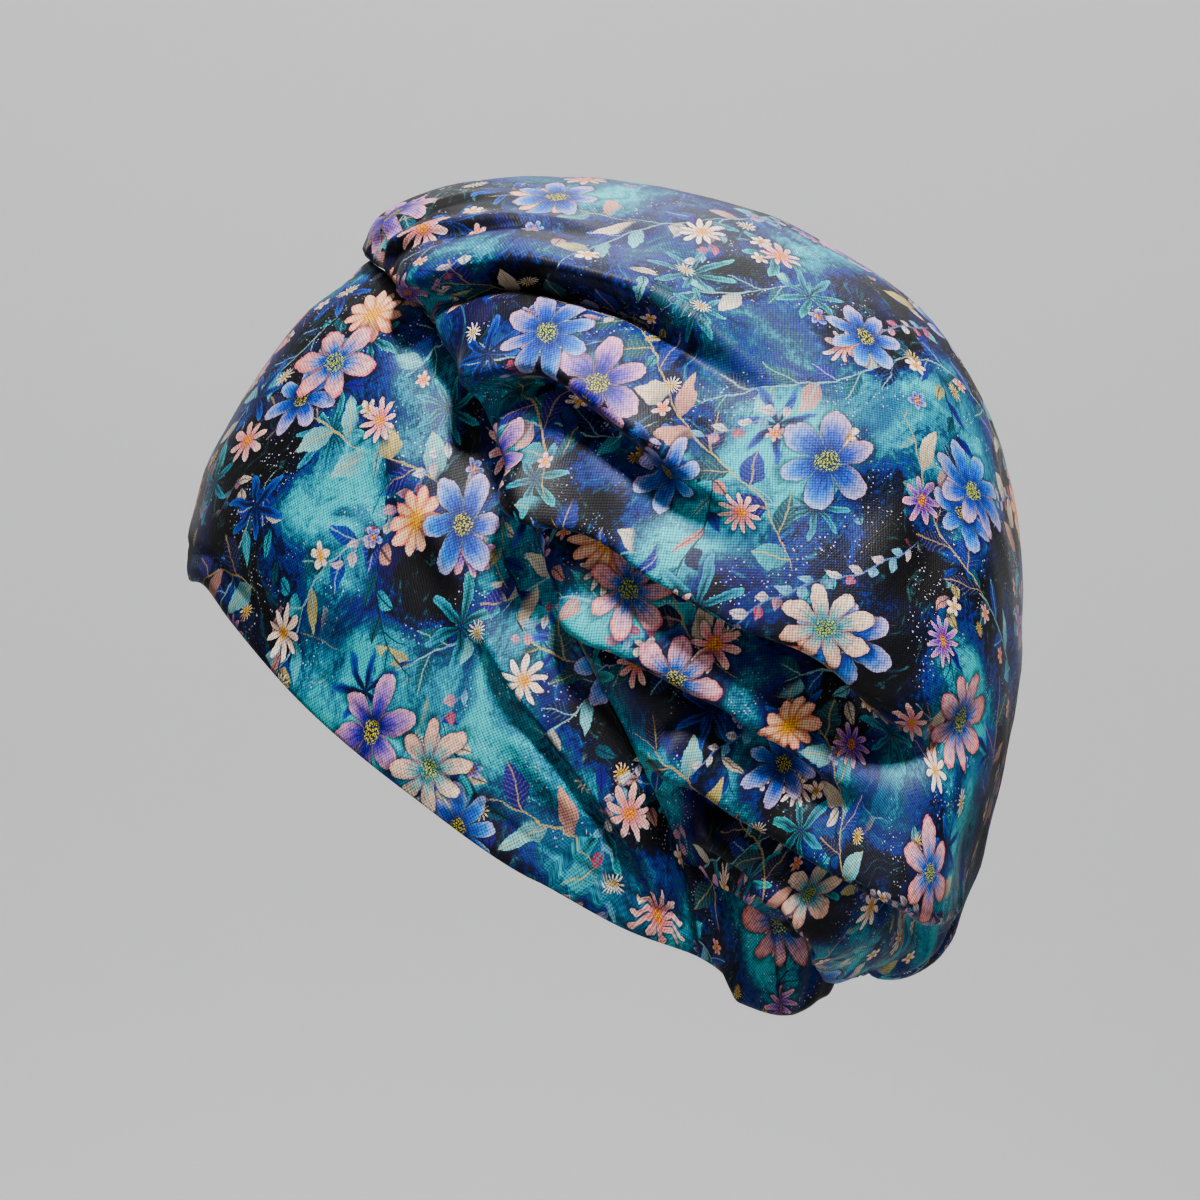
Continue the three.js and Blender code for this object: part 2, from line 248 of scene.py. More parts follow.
CASING_EDGES = Table(
    ("side", "top_angle", "top_z", "foot_angle", "foot_z", "standoff"),
    (
        (0, 0, -197, 0, -209, 13),
        (0.3, 24, -193.5, 24, -217.5, 9),
        (0.6, 42, -184.5, 41, -213, 3),
        (0.8, 53, -178, 48, -203, 1),
        (1, 62.2, -173.5, 53.5, -199.8, 0),
    ),
).mirrored()
BACK_EDGE = 0.6  # side of the casing where the crown's back edge ends and its short side edge begins

MIDDLE = (
    (-45.9, -9.5, 31),
    (-47.9, -4.2, 35),
    (-42.3, 4.5, 38),
    (-22.7, 12, 40),
    (1.1, 14.3, 41),
    (29.1, 12.3, 42),
    (62.7, 3.8, 43),
    (87.5, -8.3, 43),
    (110.5, -25.8, 42),
    (125.8, -50.5, 41),
    (133.5, -78, 41),
    (135.6, -108, 41),
    (133.8, -134, 41),
    (127.6, -161, 39),
    (120.5, -184.5, 35),
    (114, -201, 29),
    (103.5, -207, 22),
    (93, -205, 17),
    (86.5, -198.5, 13),
)  # the crown's middle line in side view, from the seam over the top to the casing: y, z and sideways bulge


def on_head(angle: Array, z: Array, off: Array | float = 0) -> Array:
    """Points round the head: superellipse sections whose front, back and half width follow the head table.

    Args:
        angle: Degrees round the head, from the forehead towards +X.
        z: Height.
        off: Distance out from the head.

    Returns:
        An array of points.
    """
    front, back, half = (HEAD.at(name, -z) for name in ("front", "back", "half"))
    turn = np.radians(angle)

    def bend(value: Array) -> Array:
        """Power that squares an ellipse, with the sign kept."""
        return np.sign(value) * np.abs(value) ** (2 / SECTION_POWER)

    x = (half + off) * bend(np.sin(turn))
    y = (front + back) / 2 - ((back - front) / 2 + off) * bend(np.cos(turn))
    return np.stack([x, y, z], -1)


def strip(table: Table, low: str, high: str, side: Array, rise: Array) -> tuple[Array, Array]:
    """Angle and height at a rise between a table's lower edge and its upper edge, straight across.

    Args:
        table: The edges.
        low: Name of the lower edge's columns.
        high: Name of the upper edge's columns.
        side: Places across, -1 to 1.
        rise: Places up, 0 at the lower edge and 1 at the upper.

    Returns:
        Angles and heights.
    """

    def between(what: str) -> Array:
        """One of the two columns, read at the rise."""
        start = table.at(f"{low}_{what}", side)
        return start + (table.at(f"{high}_{what}", side) - start) * rise

    return between("angle"), between("z")


def band_form(side: Array, rise: Array, off: Array | float = 0) -> Array:
    """Band's smooth surface at side -1 to 1 and rise 0 (hem) to 1 (seam), moved out by off."""
    return on_head(*strip(BAND_EDGES, "hem", "seam", side, rise), off)


def casing_form(side: Array, rise: Array, off: Array | float = 0, wrap: Array | float = 0) -> Array:
    """Casing's smooth surface at side -1 to 1 and rise 0 (foot) to 1 (top), moved out by off.

    Wrap moves it forward round the head, in degrees.
    """
    angle, z = strip(CASING_EDGES, "foot", "top", side, rise)
    return on_head(180 - angle - wrap, z, CASING_EDGES.at("standoff", side) + off)


# ---------------------------------------------------------------- folds


@dataclass(frozen=True)
class Fold:
    """One fold of the left side, in millimetres.

    The edge is points (y, z) of its lower edge in side view, from the seam backwards. Above and below are how
    far the cloth slopes away on each side of its crest, hollow is how deep it falls under it, and lean is how
    far the crest hangs over that hollow. Start and end are the parts of the edge over which it rises and dies
    away.
    """

    name: str
    edge: tuple[tuple[float, float], ...]
    height: float
    above: float
    below: float
    hollow: float = 0.0
    lean: float = 0.0
    start: float = 0.08
    end: float = 0.25


CROWN_FOLDS = (
    Fold("first pleat", ((-46, -6), (-42.5, -2), (-37.5, 1), (-33, 3.5), (-25, 6.5), (-18.5, 8), (-11, 9),
         (-4, 9.5)),
         2.0, 3.0, 1.8, 2.6, 1.2, 0.16, 0.4),
    Fold("second pleat", ((-43.5, -8), (-38.5, -5.5), (-33, -3), (-25.5, -1), (-17.5, 0.5), (-8.5, 1),
         (3.5, 1), (15, -1.5), (26.5, -5)),
         2.8, 3.4, 2.0, 3.8, 1.8, 0.12, 0.5),
    Fold("top roll", ((-34.5, -19), (-31.5, -17.5), (-23, -16.5), (-16, -15.5), (-4, -15.5), (6.5, -17.5),
         (18, -20), (29, -24), (40.5, -28.5), (51.5, -34), (62.5, -41), (74, -48.5)),
         8.0, 9, 3.2, 18, 8.5, 0.02, 0.5),
    Fold("upper tube", ((-19, -45.5), (-15.5, -43), (-10, -41.5), (1.5, -42.5), (8, -45.5), (13.5, -50.5),
         (19, -54), (24.5, -58), (33.5, -63.5), (46, -70), (60, -76.5), (74, -83.5)),
         8.5, 8.5, 4.0, 16, 8.0, 0.06, 0.5),
    Fold("upper hollow", ((-4.5, -54), (6.5, -59.5), (18, -68), (32, -76), (48.5, -84), (65.5, -90.5)),
         -5.0, 9, 11, 0, 0, 0.1, 0.5),
    Fold("great swag", ((-13.5, -72), (-9.5, -75.5), (-2, -79), (8, -83.5), (15, -86), (22, -90), (27, -94.5),
         (33, -98.5), (39.5, -102), (47.5, -106.5), (55.5, -110.5), (64, -113.5), (74, -117.5), (85, -124.5),
         (93.5, -131.5), (103.5, -137), (116, -138.5), (130, -134)),
         11.5, 19, 4.6, 16, 10.5, 0.05, 0.35),
    Fold("side tube", ((5.5, -103.5), (7.5, -109), (13, -113.5), (18, -115.5), (24, -118.5), (33, -123.5),
         (43.5, -129.5), (54.5, -134.5), (60, -139), (68.5, -143.5), (74.5, -147), (85, -152.5),
         (96.5, -157.5), (110.5, -161)),
         7.4, 7.5, 3.8, 14, 7.0, 0.03, 0.4),
    Fold("lower swag", ((30.5, -145.5), (33.5, -148), (36.5, -151.5), (42.5, -154.5), (49, -158.5),
         (57, -164), (61, -166), (72, -172), (86, -180.5), (97.5, -187), (109, -191), (118.5, -193)),
         7.5, 13, 4.2, 12, 7.5, 0.04, 0.12),
    Fold("nape swag", ((39, -169), (46, -173), (49, -175.5), (57.5, -181), (63.5, -185.5), (69, -188.5),
         (77.5, -194.5), (83.5, -200), (89, -202.5), (97.5, -205.5)),
         6.6, 8, 3.2, 8.5, 6.0, 0.05, 0.1),
    Fold("nape pleat", ((55.5, -185.5), (62.5, -192.5), (69.5, -201), (74, -207)),
         2.6, 5, 3, 2.4, 1.6, 0.1, 0.3),
    Fold("pouch valley", ((65.5, -126.5), (76.5, -133.5), (88, -141.5), (97.5, -144), (107.5, -144),
         (118.5, -140), (131.5, -134.5)),
         -4.5, 8, 8, 0, 0, 0.2, 0.25),
    Fold("back crease", ((124, -54), (118.5, -70.5), (112.5, -89), (105.5, -103.5), (97.5, -113)),
         -3.4, 7, 9, 0, 0, 0.2, 0.3),
    Fold("side crease", ((103.5, -68), (96.5, -76), (88, -80.5), (78, -82)), -2.0, 6, 7, 0, 0, 0.3, 0.3),
)

BAND_FOLDS = (
    Fold("ear roll", ((-16, -104), (-13, -115.5), (-8, -125.5), (-3, -132.5), (1.5, -139), (7, -146.5),
         (12.5, -154.5), (19, -162.5), (23, -169), (29, -177.5), (34.5, -187), (40, -194.5)),
         3.6, 11, 2.4, 3.0, 2.6, 0.2, 0.15),
    Fold("hem roll", ((-11, -136.5), (-5, -144), (1, -151.5), (7.5, -159), (13.5, -166), (19, -172)),
         1.9, 3.6, 4.2, 0.8, 0.4, 0.25, 0.3),
    Fold("brow fold", ((-47, -52), (-38, -68), (-29, -84), (-22, -96), (-12, -110)),
         1.9, 7, 6, 1.4, 0.8, 0.3, 0.3),
    Fold("temple fold", ((-30, -100), (-20, -110), (-10, -122), (0, -136), (8, -148)),
         1.4, 5, 5, 1.0, 0.6, 0.3, 0.3),
    Fold("seam fold", ((-38.5, -25), (-32.5, -35.5), (-23.5, -46), (-17.5, -59.5), (-8.5, -81), (0, -99),
         (9.5, -121.5), (17, -135.5)),
         -3.0, 5, 6, 0, 0, 0.12, 0.25),
    Fold("low brow fold", ((-70, -92), (-58, -104), (-46, -118), (-36, -130)), 0.9, 7, 7, 0, 0, 0.4, 0.4),
)

VIEW_MIDDLE = (17.9, -104.2)  # y and z of the middle of the side view that the edges are drawn in
VIEW_DISTANCE = 1600.0  # from it to the camera
VIEW_SLOPE = 0.026  # how much lower a point shows in it for each millimetre that it lies nearer
FOLD_SPREAD = 2.4  # the hollow is this much wider than the slope into it
CREST_SHIFT = 1.07  # a leaning crest's slopes are measured from this much of its lean downhill
LEAN_SPREAD = 0.8  # part of the upper slope's width over which the cloth leans with its crest
FAR_SHIFT = (5.0, -4.0)  # the right side's folds lie this far off the left side's, in y and z
FAR_HEIGHT = 0.9  # and are this much as high


@dataclass(frozen=True)
class Seat:
    """Where each point of a surface lies against a fold's crest."""

    far: Array
    place: Array
    uphill: Array
    above: Array


def seat_on(crest: Array, points: Array, normals: Array, hand: float) -> Seat:
    """Nearest place on a crest for each point of a surface.

    Args:
        crest: Points of the crest in space.
        points: Points of the surface, in rows of three.
        normals: The surface's normals there.
        hand: 1 on the wearer's left and -1 on the right, which turns uphill the same way round on both.

    Returns:
        Distance, place 0 to 1 along the crest, direction uphill from it, and whether the point lies uphill.
    """
    far = np.full(len(points), np.inf)
    place, run, foot = np.zeros(len(points)), np.zeros((len(points), 3)), np.zeros((len(points), 3))
    for i, (start, end) in enumerate(zip(crest[:-1], crest[1:])):
        along = end - start
        t = np.clip((points - start) @ along / max(along @ along, 1e-9), 0, 1)
        at = start + t[:, None] * along
        gap = ((points - at) ** 2).sum(1)
        near = gap < far
        far[near], run[near], foot[near] = gap[near], along, at[near]
        place[near] = (i + t[near]) / (len(crest) - 1)
    uphill = unit(np.cross(normals, run)) * hand
    return Seat(np.sqrt(far), place, uphill, ((points - foot) * uphill).sum(1) > 0)


@dataclass
class Drape:
    """Folds laid on both sides of a piece's smooth surface."""

    folds: tuple[Fold, ...]
    smooth_form: Callable[[Array, Array], Array]
    columns: int = 161  # of the surface's points that the crests are laid on, and rows of them
    rows: int = 61
    samples: int = 28  # points of a crest

    def __post_init__(self) -> None:
        """Lays each fold's crest on the surface's left and right."""
        side, way = np.meshgrid(np.linspace(-1, 1, self.columns), np.linspace(0, 1, self.rows))
        points = self.smooth_form(side, way).reshape(-1, 3)
        both = [(fold, hand) for fold in self.folds for hand in (1.0, -1.0)]
        self.crests = {(fold.name, hand): self.crest(fold, hand, points) for fold, hand in both}

    def crest(self, fold: Fold, hand: float, points: Array) -> Array:
        """Crest of a fold in space: its side view laid on the surface's left or right.

        The side view is drawn at the middle plane, so what lies nearer by x is brought in to its middle by x
        over the view's distance, and up by the view's slope.
        """
        shift = (0.0, 0.0) if hand > 0 else FAR_SHIFT
        drawn = curve_through([(y + shift[0], z + shift[1]) for y, z in fold.edge], self.samples)
        cloth = points[points[:, 0] * hand > 0]
        x, line = np.zeros(len(drawn)), drawn
        for _ in range(2):
            gap = ((cloth[None, :, 1:] - line[:, None, :]) ** 2).sum(-1)
            weight = 1 / (gap + 0.1) ** 3
            x = (weight * cloth[:, 0]).sum(1) / weight.sum(1)
            x = np.convolve(np.r_[x[:1], x[:1], x, x[-1:], x[-1:]], np.ones(5) / 5, "valid")
            near = np.abs(x)[:, None]
            line = drawn - (drawn - VIEW_MIDDLE) * near / VIEW_DISTANCE + near * (0.0, VIEW_SLOPE)
        return np.c_[x, line]

    def push(self, side: Array, points: Array, normals: Array) -> tuple[Array, Array]:
        """How far the folds move each point: their height along the normal, and their crest's lean downhill.

        A fold rises over its start and dies away over its end, and its lean does so sooner. Above the crest
        it is a bell curve of its height. Below it a narrow bell of its height and hollow loses a wider one of
        its hollow.

        Args:
            side: Place across of each point, -1 to 1.
            points: Points of the smooth surface, in rows of three.
            normals: Its normals.

        Returns:
            The move of each point, and the height in it.
        """
        move, rise = np.zeros_like(points), np.zeros(len(points))
        for fold in self.folds:
            for hand in (1.0, -1.0):
                seat = seat_on(self.crests[fold.name, hand], points, normals, hand)
                share = smooth(-0.07, 0.07, side * hand) * (1.0 if hand > 0 else FAR_HEIGHT)
                share = share * smooth(0, fold.start, seat.place) * (1 - smooth(1 - fold.end, 1, seat.place))
                slack = smooth(0.9 - 0.8 * fold.end, 0.95 - 0.2 * fold.end, seat.place)
                hang = fold.lean * share * smooth(0, 0.22, seat.place) * (1 - slack)
                apart = np.where(seat.above, seat.far, -seat.far) - CREST_SHIFT * hang
                slope, hollow = ridge(apart, 0, fold.below), ridge(apart, 0, FOLD_SPREAD * fold.below)
                under = (fold.height + fold.hollow) * slope - fold.hollow * hollow
                height = share * np.where(apart > 0, fold.height * ridge(apart, 0, fold.above), under)
                lean = hang * np.where(apart > 0, ridge(apart, 0, LEAN_SPREAD * fold.above), slope)
                move += height[:, None] * normals - lean[:, None] * seat.uphill
                rise += height
        return move, rise


def arc(points: Array, axis: int) -> Array:
    """Length walked along an axis of a grid of points, from its first point."""
    steps = np.linalg.norm(np.diff(points, axis=axis), axis=-1)
    start = np.zeros_like(np.take(steps, [0], axis=axis))
    return np.concatenate([start, np.cumsum(steps, axis=axis)], axis=axis)


@dataclass(frozen=True)
class Springs:
    """Neighbouring pairs of a grid's nodes, along one direction, and their distance on the cloth."""

    first: tuple[slice, slice]
    second: tuple[slice, slice]
    length: Array


def springs_of(points: Array, rows: int, columns: int) -> tuple[list[Springs], tuple[Array, Array]]:
    """Springs between every few nodes of a grid of cloth: across, along, and on both diagonals.

    Across and along they are as long as the cloth between the two nodes, with its folds. On a diagonal the
    length follows from those two and the angle between them.

    Args:
        points: Grid of points in space, by rows.
        rows: Rows from one node to the next.
        columns: Columns from one node to the next.

    Returns:
        The springs, and the lengths walked across and along to the nodes.
    """
    walks = arc(points, 1)[::rows, ::columns], arc(points, 0)[::rows, ::columns]
    nodes = points[::rows, ::columns]
    across, along = np.diff(walks[0], axis=1), np.diff(walks[1], axis=0)
    lean = (unit(np.diff(nodes, axis=1))[:-1] * unit(np.diff(nodes, axis=0))[:, :-1]).sum(-1)
    squares = across[:-1] ** 2 + along[:, :-1] ** 2
    twice = 2 * across[:-1] * along[:, :-1] * lean
    every, early, late = slice(None), slice(None, -1), slice(1, None)
    return [
        Springs((every, early), (every, late), across),
        Springs((early, every), (late, every), along),
        Springs((early, early), (late, late), np.sqrt(np.maximum(squares + twice, 1e-6))),
        Springs((early, late), (late, early), np.sqrt(np.maximum(squares - twice, 1e-6))),
    ], walks


def stretched_grid(grid: Array, rows: int, columns: int) -> Array:
    """A coarse grid of coordinates, drawn straight between its nodes to more rows and columns."""
    places = np.linspace(0, grid.shape[0] - 1, rows), np.linspace(0, grid.shape[1] - 1, columns)
    low = [np.minimum(p.astype(int), n - 2) for p, n in zip(places, grid.shape)]
    part = [p - i for p, i in zip(places, low)]
    tall = grid[low[0]] + part[0][:, None, None] * (grid[low[0] + 1] - grid[low[0]])
    return tall[:, low[1]] + part[1][None, :, None] * (tall[:, low[1] + 1] - tall[:, low[1]])


PULL = 0.13  # part of its error that a pair of neighbours puts right in one round


def flattened(points: Array, steps: Sequence[tuple[int, int, int]], slack: float = 0.3) -> Array:
    """Lays a grid of cloth out flat, from a few far nodes to all of them.

    In each round every pair of neighbours pulls or pushes its two ends towards their distance on the cloth. A
    pair that would have to stretch in space counts fully, and one that would only be gathered counts by the
    slack.

    Args:
        points: Grid of points in space, by rows.
        steps: Rows and columns from node to node, and the number of rounds, for each level.
        slack: Weight of a pair that lies closer in space than on the flat cloth.

    Returns:
        Plane coordinates by rows, in the units of the points.
    """
    flat = None
    for rows, columns, rounds in steps:
        springs, (across, along) = springs_of(points, rows, columns)
        if flat is None:
            widest = np.argmax(across[:, -1])
            row = across[widest] - across[widest, -1] / 2
            flat = np.stack([np.broadcast_to(row, along.shape), along - along[widest]], -1)
        else:
            flat = stretched_grid(flat, *across.shape)
        for _ in range(rounds):
            pull = np.zeros_like(flat)
            for pair in springs:
                gap = flat[pair.second] - flat[pair.first]
                now = np.maximum(np.linalg.norm(gap, axis=-1), 1e-9)
                error = (now - pair.length) / now
                step = (PULL * np.where(error > 0, slack * error, error))[..., None] * gap
                pull[pair.first] += step
                pull[pair.second] -= step
            flat = flat + pull
    return flat


# ---------------------------------------------------------------- cloth pieces


def grid_mesh(name: str, grid: Array) -> tuple[bpy.types.Mesh, Array]:
    """Makes a mesh of smooth quads, one for each cell of a grid.

    Args:
        name: Name of the mesh.
        grid: Points in metres, by rows.

    Returns:
        The mesh, and each quad's four points by number.
    """
    rows, columns = grid.shape[:2]
    index = np.arange(rows * columns).reshape(rows, columns)
    quads = np.stack([index[:-1, :-1], index[:-1, 1:], index[1:, 1:], index[1:, :-1]], -1).reshape(-1, 4)
    data = bpy.data.meshes.new(name)
    data.from_pydata(grid.reshape(-1, 3).tolist(), [], quads.tolist())
    data.polygons.foreach_set("use_smooth", np.ones(len(quads), bool))
    return data, quads


def in_scene(name: str, data: bpy.types.ID) -> bpy.types.Object:
    """Puts a new object with this mesh, lamp or camera into the scene."""
    obj = bpy.data.objects.new(name, data)
    bpy.context.scene.collection.objects.link(obj)
    return obj


@dataclass(frozen=True)
class Cut:
    """How a piece of cloth was cut, in metres and square metres, and how it is held."""

    flat: tuple[float, float]
    area: float
    held: str
    sewn_to: tuple[str, ...]

    def declare(self, obj: bpy.types.Object) -> None:
        """Does nothing: the piece is not declared as this sheet of cloth."""


@dataclass
class Panel:
    """A grid of cloth, as points in millimetres by rows, and what makes a mesh of it."""

    name: str
    outer: Array
    wall: float
    place: tuple[float, float]  # where on the printed cloth it was cut
    turn: float  # degrees that it was turned on the cloth
    levels: tuple[tuple[int, int, int], ...] = ((1, 1, 60),)  # of laying it out flat

    def mesh(self, materials: Sequence[bpy.types.Material]) -> bpy.types.Object:
        """Makes the mesh object, with a wall inward and its own flat coordinates.

        Args:
            materials: The right side and the wrong side of the cloth.

        Returns:
            The new object.
        """
        data, quads = grid_mesh(self.name, self.outer * MM)
        cloth = data.uv_layers.new(name="cloth")
        t = math.radians(self.turn)
        spin = np.array([[math.cos(t), math.sin(t)], [-math.sin(t), math.cos(t)]])
        laid = flattened(self.outer, self.levels) * MM
        flat = laid.reshape(-1, 2) @ spin + np.array(self.place) * MM
        cloth.data.foreach_set("uv", flat[quads.ravel()].ravel())
        area = np.empty(len(quads))
        data.polygons.foreach_get("area", area)
        log.info("%s: %s m laid flat, %.4f m2", self.name, np.ptp(laid, (0, 1)).round(3), area.sum())
        for material in materials:
            data.materials.append(material)
        obj = in_scene(self.name, data)
        wall = obj.modifiers.new("wall", "SOLIDIFY")
        wall.thickness, wall.offset = self.wall * MM, -1
        wall.use_even_offset = False
        wall.material_offset = len(materials) - 1
        wall.material_offset_rim = 0
        return obj


@dataclass
class Crown:
    """The large gathered panel: bows fanned between two lower corners, with folds pushed out of it."""

    across: int = 440
    along: int = 110
    probes: tuple[int, int] = (1201, 23)  # columns and rows that its columns' spacing is worked out on
    by_length: float = 0.6  # part of that spacing that follows the folded cloth's own length
    wall: float = 0.7
    seam_tuck: float = 0.6  # how far the crown's edge lies inside the band's face
    hang: float = 0.14  # part of the casing's height that the crown's lower edge hangs over it
    overhang: float = 2.6  # and how far out from it
    end_rows: float = 0.62  # how much closer its rows are near the two seams: 0 not at all, near 1 very close
    crumple: float = 0.32  # height of its soft random relief
    lip_out: float = 2.4  # how far the front lip stands out from the seam
    lip_down: float = 1.6  # and hangs over the band
    front_pleats: int = 19  # small pleats along the front seam, for each side of the head
    rear_swells: float = 6.3  # and the wide and the small ones along the back edge
    rear_pleats: int = 15
    levels: tuple[tuple[int, int, int], ...] = ((10, 20, 700), (5, 5, 500), (1, 1, 160))
    place: tuple[float, float] = (17, 9)  # where on the printed cloth it was cut
    turn: float = 12
    cut: Cut = Cut((0.52, 0.385), 0.12, "gathered", ("band_cloth", "casing_cloth"))

    def __post_init__(self) -> None:
        """Works out the middle line as a table by its own length."""
        points = np.array(MIDDLE, float)
        way = np.r_[0, np.cumsum(np.hypot(*np.diff(points[:, :2], axis=0).T))]
        rows = np.c_[way / way[-1], points]
        self.middle = Table(("way", "y", "z", "bulge"), tuple(map(tuple, rows)))
        self.drape = Drape(CROWN_FOLDS, self.smooth_form)

    def foot(self, side: Array) -> Array:
        """The crown's lower edge, which hangs a little over the top of the casing."""
        return casing_form(side, np.full_like(side, 1 - self.hang), self.overhang)

    def bow(self, side: Array, way: Array) -> Array:
        """Bow from a lower corner over the middle line to the other corner.

        Height and depth follow the cosine of the side, and the width is the corner's own, with the sine of
        the side, plus the bulge, with the sine of twice it.
        """
        hand = np.where(side < 0, -1.0, 1.0)
        corner = self.foot(hand * (1 + (BACK_EDGE - 1) * way**0.6))
        rise, spread = np.cos(side * np.pi / 2), np.abs(np.sin(side * np.pi / 2))
        x = corner[..., 0] * spread + self.middle.at("bulge", way) * np.sin(np.pi * side)
        y = corner[..., 1] + (self.middle.at("y", way) - corner[..., 1]) * rise
        z = corner[..., 2] + (self.middle.at("z", way) - corner[..., 2]) * rise
        return np.stack([x, y, z], -1)

    def smooth_form(self, side: Array, way: Array) -> Array:
        """Crown without its folds: its bows, drawn to the band's seam in front and to the casing behind."""
        front = ((1 - smooth(0, 0.25, way)) ** 2)[..., None]
        back = (smooth(0.8, 1, way) ** 2)[..., None]
        start, finish = np.zeros_like(way), np.ones_like(way)
        to_seam = band_form(side, finish, -self.seam_tuck) - self.bow(side, start)
        to_casing = self.foot(side * BACK_EDGE) - self.bow(side, finish)
        return self.bow(side, way) + front * to_seam + back * to_casing

    def ways(self, rows: int) -> Array:
        """Places of rows along the middle line."""
        t = np.linspace(0, 1, rows)
        return t - self.end_rows * np.sin(2 * np.pi * t) / (2 * np.pi)

    def folded(self, side: Array, way: Array) -> Array:
        """Crown's outer surface at places across and along, with its folds, gathers and front lip."""
        form = self.smooth_form(side, way)
        run = arc(form, 0).ravel()
        back = (arc(form, 0)[-1] - arc(form, 0)).ravel()
        points, normals = form.reshape(-1, 3), normals_of(form).reshape(-1, 3)
        side = side.ravel()
        corner = 1 - smooth(0.93, 1, np.abs(side))
        move, rise = self.drape.push(side, points, normals)
        relief = Waves(seed=3, shortest=14, longest=45).at(points)
        small = self.gathers(points, side, run, back) + self.crumple * relief
        fade = smooth(0, 16, run) ** 0.7 * smooth(0, 9, back) * corner
        move = move * fade[:, None] + (corner * small)[:, None] * normals
        lip = self.lip(side, run) * (0.7 + 0.1 * np.clip(rise, -4, 9))[:, None]
        return (points + move + lip).reshape(form.shape)

    def lip(self, side: Array, run: Array) -> Array:
        """The crown's first millimetres: a soft roll that stands out from the seam and hangs over the band.

        Args:
            side: Place across of each point, -1 to 1.
            run: How far it lies behind the front seam.

        Returns:
            The move of each point. The roll is lower at the forehead's middle, and two bell curves give it a
            thin rim there with a groove behind it.
        """
        down = unit(band_form(side, np.full_like(side, 0.85)) - band_form(side, np.ones_like(side)))
        out = unit(band_form(side, np.full_like(side, 0.95), 1.0) - band_form(side, np.full_like(side, 0.95)))
        off = np.abs(side)
        size = (0.5 + 0.5 * smooth(0.02, 0.2, off)) * (1 - smooth(0.85, 0.98, off))
        size = size * smooth(0, 4, run) * (1 - smooth(4, 26, run))
        rim = 1.3 * ridge(run, 3, 1.8) - 0.9 * ridge(run, 8, 2.4)
        rim = rim * smooth(0, 1.5, run) * (1 - smooth(0.32, 0.5, off))
        return size[:, None] * (self.lip_out * out + self.lip_down * down) + rim[:, None] * out

    def gathers(self, points: Array, side: Array, run: Array, back: Array) -> Array:
        """Small pleats along both seams: uneven waves across the cloth that rise off the seam and die away.

        Args:
            points: Points of the smooth crown.
            side: Place across of each, -1 to 1.
            run: How far it lies behind the front seam.
            back: How far it lies above the back edge.

        Returns:
            Height of each point, in millimetres: highest at the middle of each seam, and lower towards the
            corners.
        """
        round_turn, off = 2 * np.pi, np.abs(side)
        wander = Waves(seed=7, shortest=18, longest=60).at(points)
        uneven = 0.6 + 0.4 * Waves(seed=5, shortest=0.1, longest=0.4, dimensions=1).at(side[:, None])
        front = smooth(0, 5, run) * (1 - smooth(8, 42 + 12 * wander, run))
        front = front * np.sin(round_turn * self.front_pleats * side + 2.2 * wander) * uneven
        rear = smooth(0, 6, back) * (1 - smooth(8, 70 + 16 * wander, back))
        swells = np.sin(round_turn * self.rear_swells * side + 1.3 * wander)
        pleats = 0.35 * np.sin(round_turn * self.rear_pleats * side + wander)
        rear = rear * (swells + pleats - 0.6)
        front_height = 0.3 + 0.35 * (1 - smooth(0.1, 0.4, off))
        rear_height = 2.2 - 1.2 * smooth(0.3, 0.6, off)
        return front_height * front + rear_height * rear

    def surface(self) -> Array:
        """Grid of the outer surface, its columns spaced mostly by the folded cloth's own length across."""
        side, way = np.meshgrid(np.linspace(-1, 1, self.probes[0]), self.ways(self.probes[1]))
        length = arc(self.folded(side, way), 1)
        share = self.by_length * length / length[:, -1:] + (1 - self.by_length) * (side + 1) / 2
        even = np.linspace(0, 1, self.across + 1)
        spread = np.array([np.interp(even, row, side[0]) for row in share])
        pad = np.vstack([spread[:1], spread, spread[-1:]])
        spread = (pad[:-2] + 2 * pad[1:-1] + pad[2:]) / 4
        side = stretched_grid(spread[..., None], self.along + 1, self.across + 1)[..., 0]
        way = np.repeat(self.ways(self.along + 1)[:, None], self.across + 1, axis=1)
        return softened(self.folded(side, way), across=3, along=1)

    def build(self, materials: Sequence[bpy.types.Material]) -> bpy.types.Object:
        panel = Panel("crown_cloth", self.surface(), self.wall, self.place, self.turn, self.levels)
        obj = panel.mesh(materials)
        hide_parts("crown")
        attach(obj, BODY)
        self.cut.declare(obj)
        return obj


